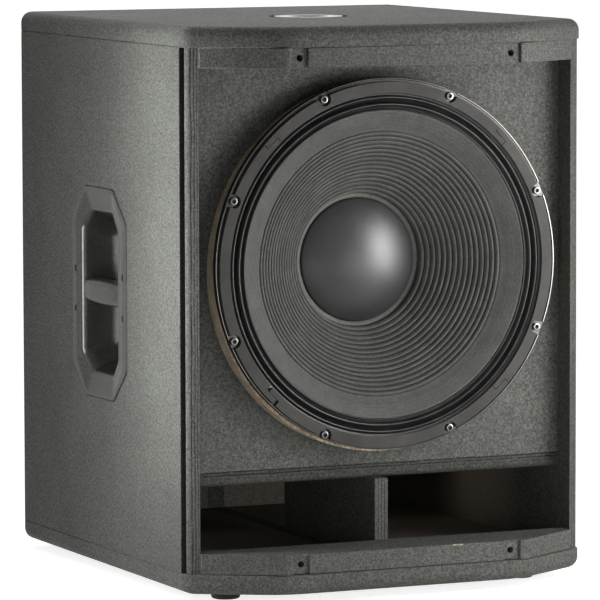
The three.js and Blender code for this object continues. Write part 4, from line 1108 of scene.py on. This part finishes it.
def seen_white(tree, lit, white):
    """Shows white to the camera and in reflections, and the lit shader to every other ray."""
    path = tree.nodes.new("ShaderNodeLightPath")
    rays = [path.outputs[name] for name in ("Is Camera Ray", "Is Glossy Ray", "Is Transmission Ray")]
    seen = rays[0]
    for ray in rays[1:]:
        either = tree.nodes.new("ShaderNodeMath")
        either.operation = "MAXIMUM"
        tree.links.new(seen, either.inputs[0])
        tree.links.new(ray, either.inputs[1])
        seen = either.outputs[0]
    mixer = tree.nodes.new("ShaderNodeMixShader")
    tree.links.new(seen, mixer.inputs[0])
    tree.links.new(lit, mixer.inputs[1])
    tree.links.new(white, mixer.inputs[2])
    return mixer.outputs[0]


def make_world():
    world = bpy.data.worlds.new("studio")
    bpy.context.scene.world = world
    world.use_nodes = True
    tree = world.node_tree
    tree.nodes.clear()
    shades = []
    for strength in (AMBIENT, 1.0):
        shade = tree.nodes.new("ShaderNodeBackground")
        shade.inputs["Color"].default_value = (1, 1, 1, 1)
        shade.inputs["Strength"].default_value = strength
        shades.append(shade.outputs[0])
    out = tree.nodes.new("ShaderNodeOutputWorld")
    tree.links.new(seen_white(tree, *shades), out.inputs["Surface"])


def make_floor():
    """A pale floor that keeps the shadow near the cabinet and turns to plain white further out."""
    reach, steps = 40.0, 40
    places = [reach * (2 * i / steps - 1) for i in range(steps + 1)]
    points = [(x, y, 0.0) for y in places for x in places]
    row = steps + 1
    faces = [(j * row + i, j * row + i + 1, (j + 1) * row + i + 1, (j + 1) * row + i)
             for j in range(steps) for i in range(steps)]
    mesh = bpy.data.meshes.new("studio_floor")
    mesh.from_pydata(points, [], faces)
    floor = bpy.data.objects.new("studio_floor", mesh)
    bpy.context.scene.collection.objects.link(floor)
    look = Look("studio_floor", roughness=0.9, specular=0.1)
    look.shader.inputs["Base Color"].default_value = (0.82, 0.82, 0.82, 1)
    away = look.node("ShaderNodeVectorMath", operation="LENGTH")
    look.link(look.place, away.inputs[0])
    far = look.rise(away.outputs["Value"], 0.9, 1.4)
    glow = look.node("ShaderNodeEmission")
    glow.inputs["Color"].default_value = (1, 1, 1, 1)
    look.link(look.plus(look.times(far, 1 - FLOOR_GLOW), FLOOR_GLOW), glow.inputs["Strength"])
    both = look.node("ShaderNodeAddShader")
    look.link(look.shader.outputs[0], both.inputs[0])
    look.link(glow.outputs[0], both.inputs[1])
    out = next(n for n in look.tree.nodes if n.type == "OUTPUT_MATERIAL")
    look.link(seen_white(look.tree, look.shader.outputs[0], both.outputs[0]), out.inputs["Surface"])
    mesh.materials.append(look.material)


def make_lamps(lamps, diffuse):
    for name, spot, aim, size, power in lamps:
        lamp = bpy.data.lights.new(name, "AREA")
        lamp.shape = "RECTANGLE"
        lamp.size, lamp.size_y = size
        lamp.energy = power
        holder = bpy.data.objects.new(name, lamp)
        bpy.context.scene.collection.objects.link(holder)
        holder.location = spot
        holder.rotation_mode = "QUATERNION"
        holder.rotation_quaternion = (Vector(aim) - Vector(spot)).to_track_quat("-Z", "Y")
        holder.visible_camera = False
        holder.visible_diffuse = diffuse


make_camera()
make_caps()
make_sides()
make_boards()
make_battens()
make_cone()
make_surround()
make_frame()
make_gasket()
make_bolts()
make_handles()
make_pole_socket()
make_feet()
make_input()
finish_plain_nodes()
make_world()
make_floor()
make_lamps(LAMPS, True)
make_lamps(SHEENS, False)
bpy.context.scene.view_settings.view_transform = "Standard"
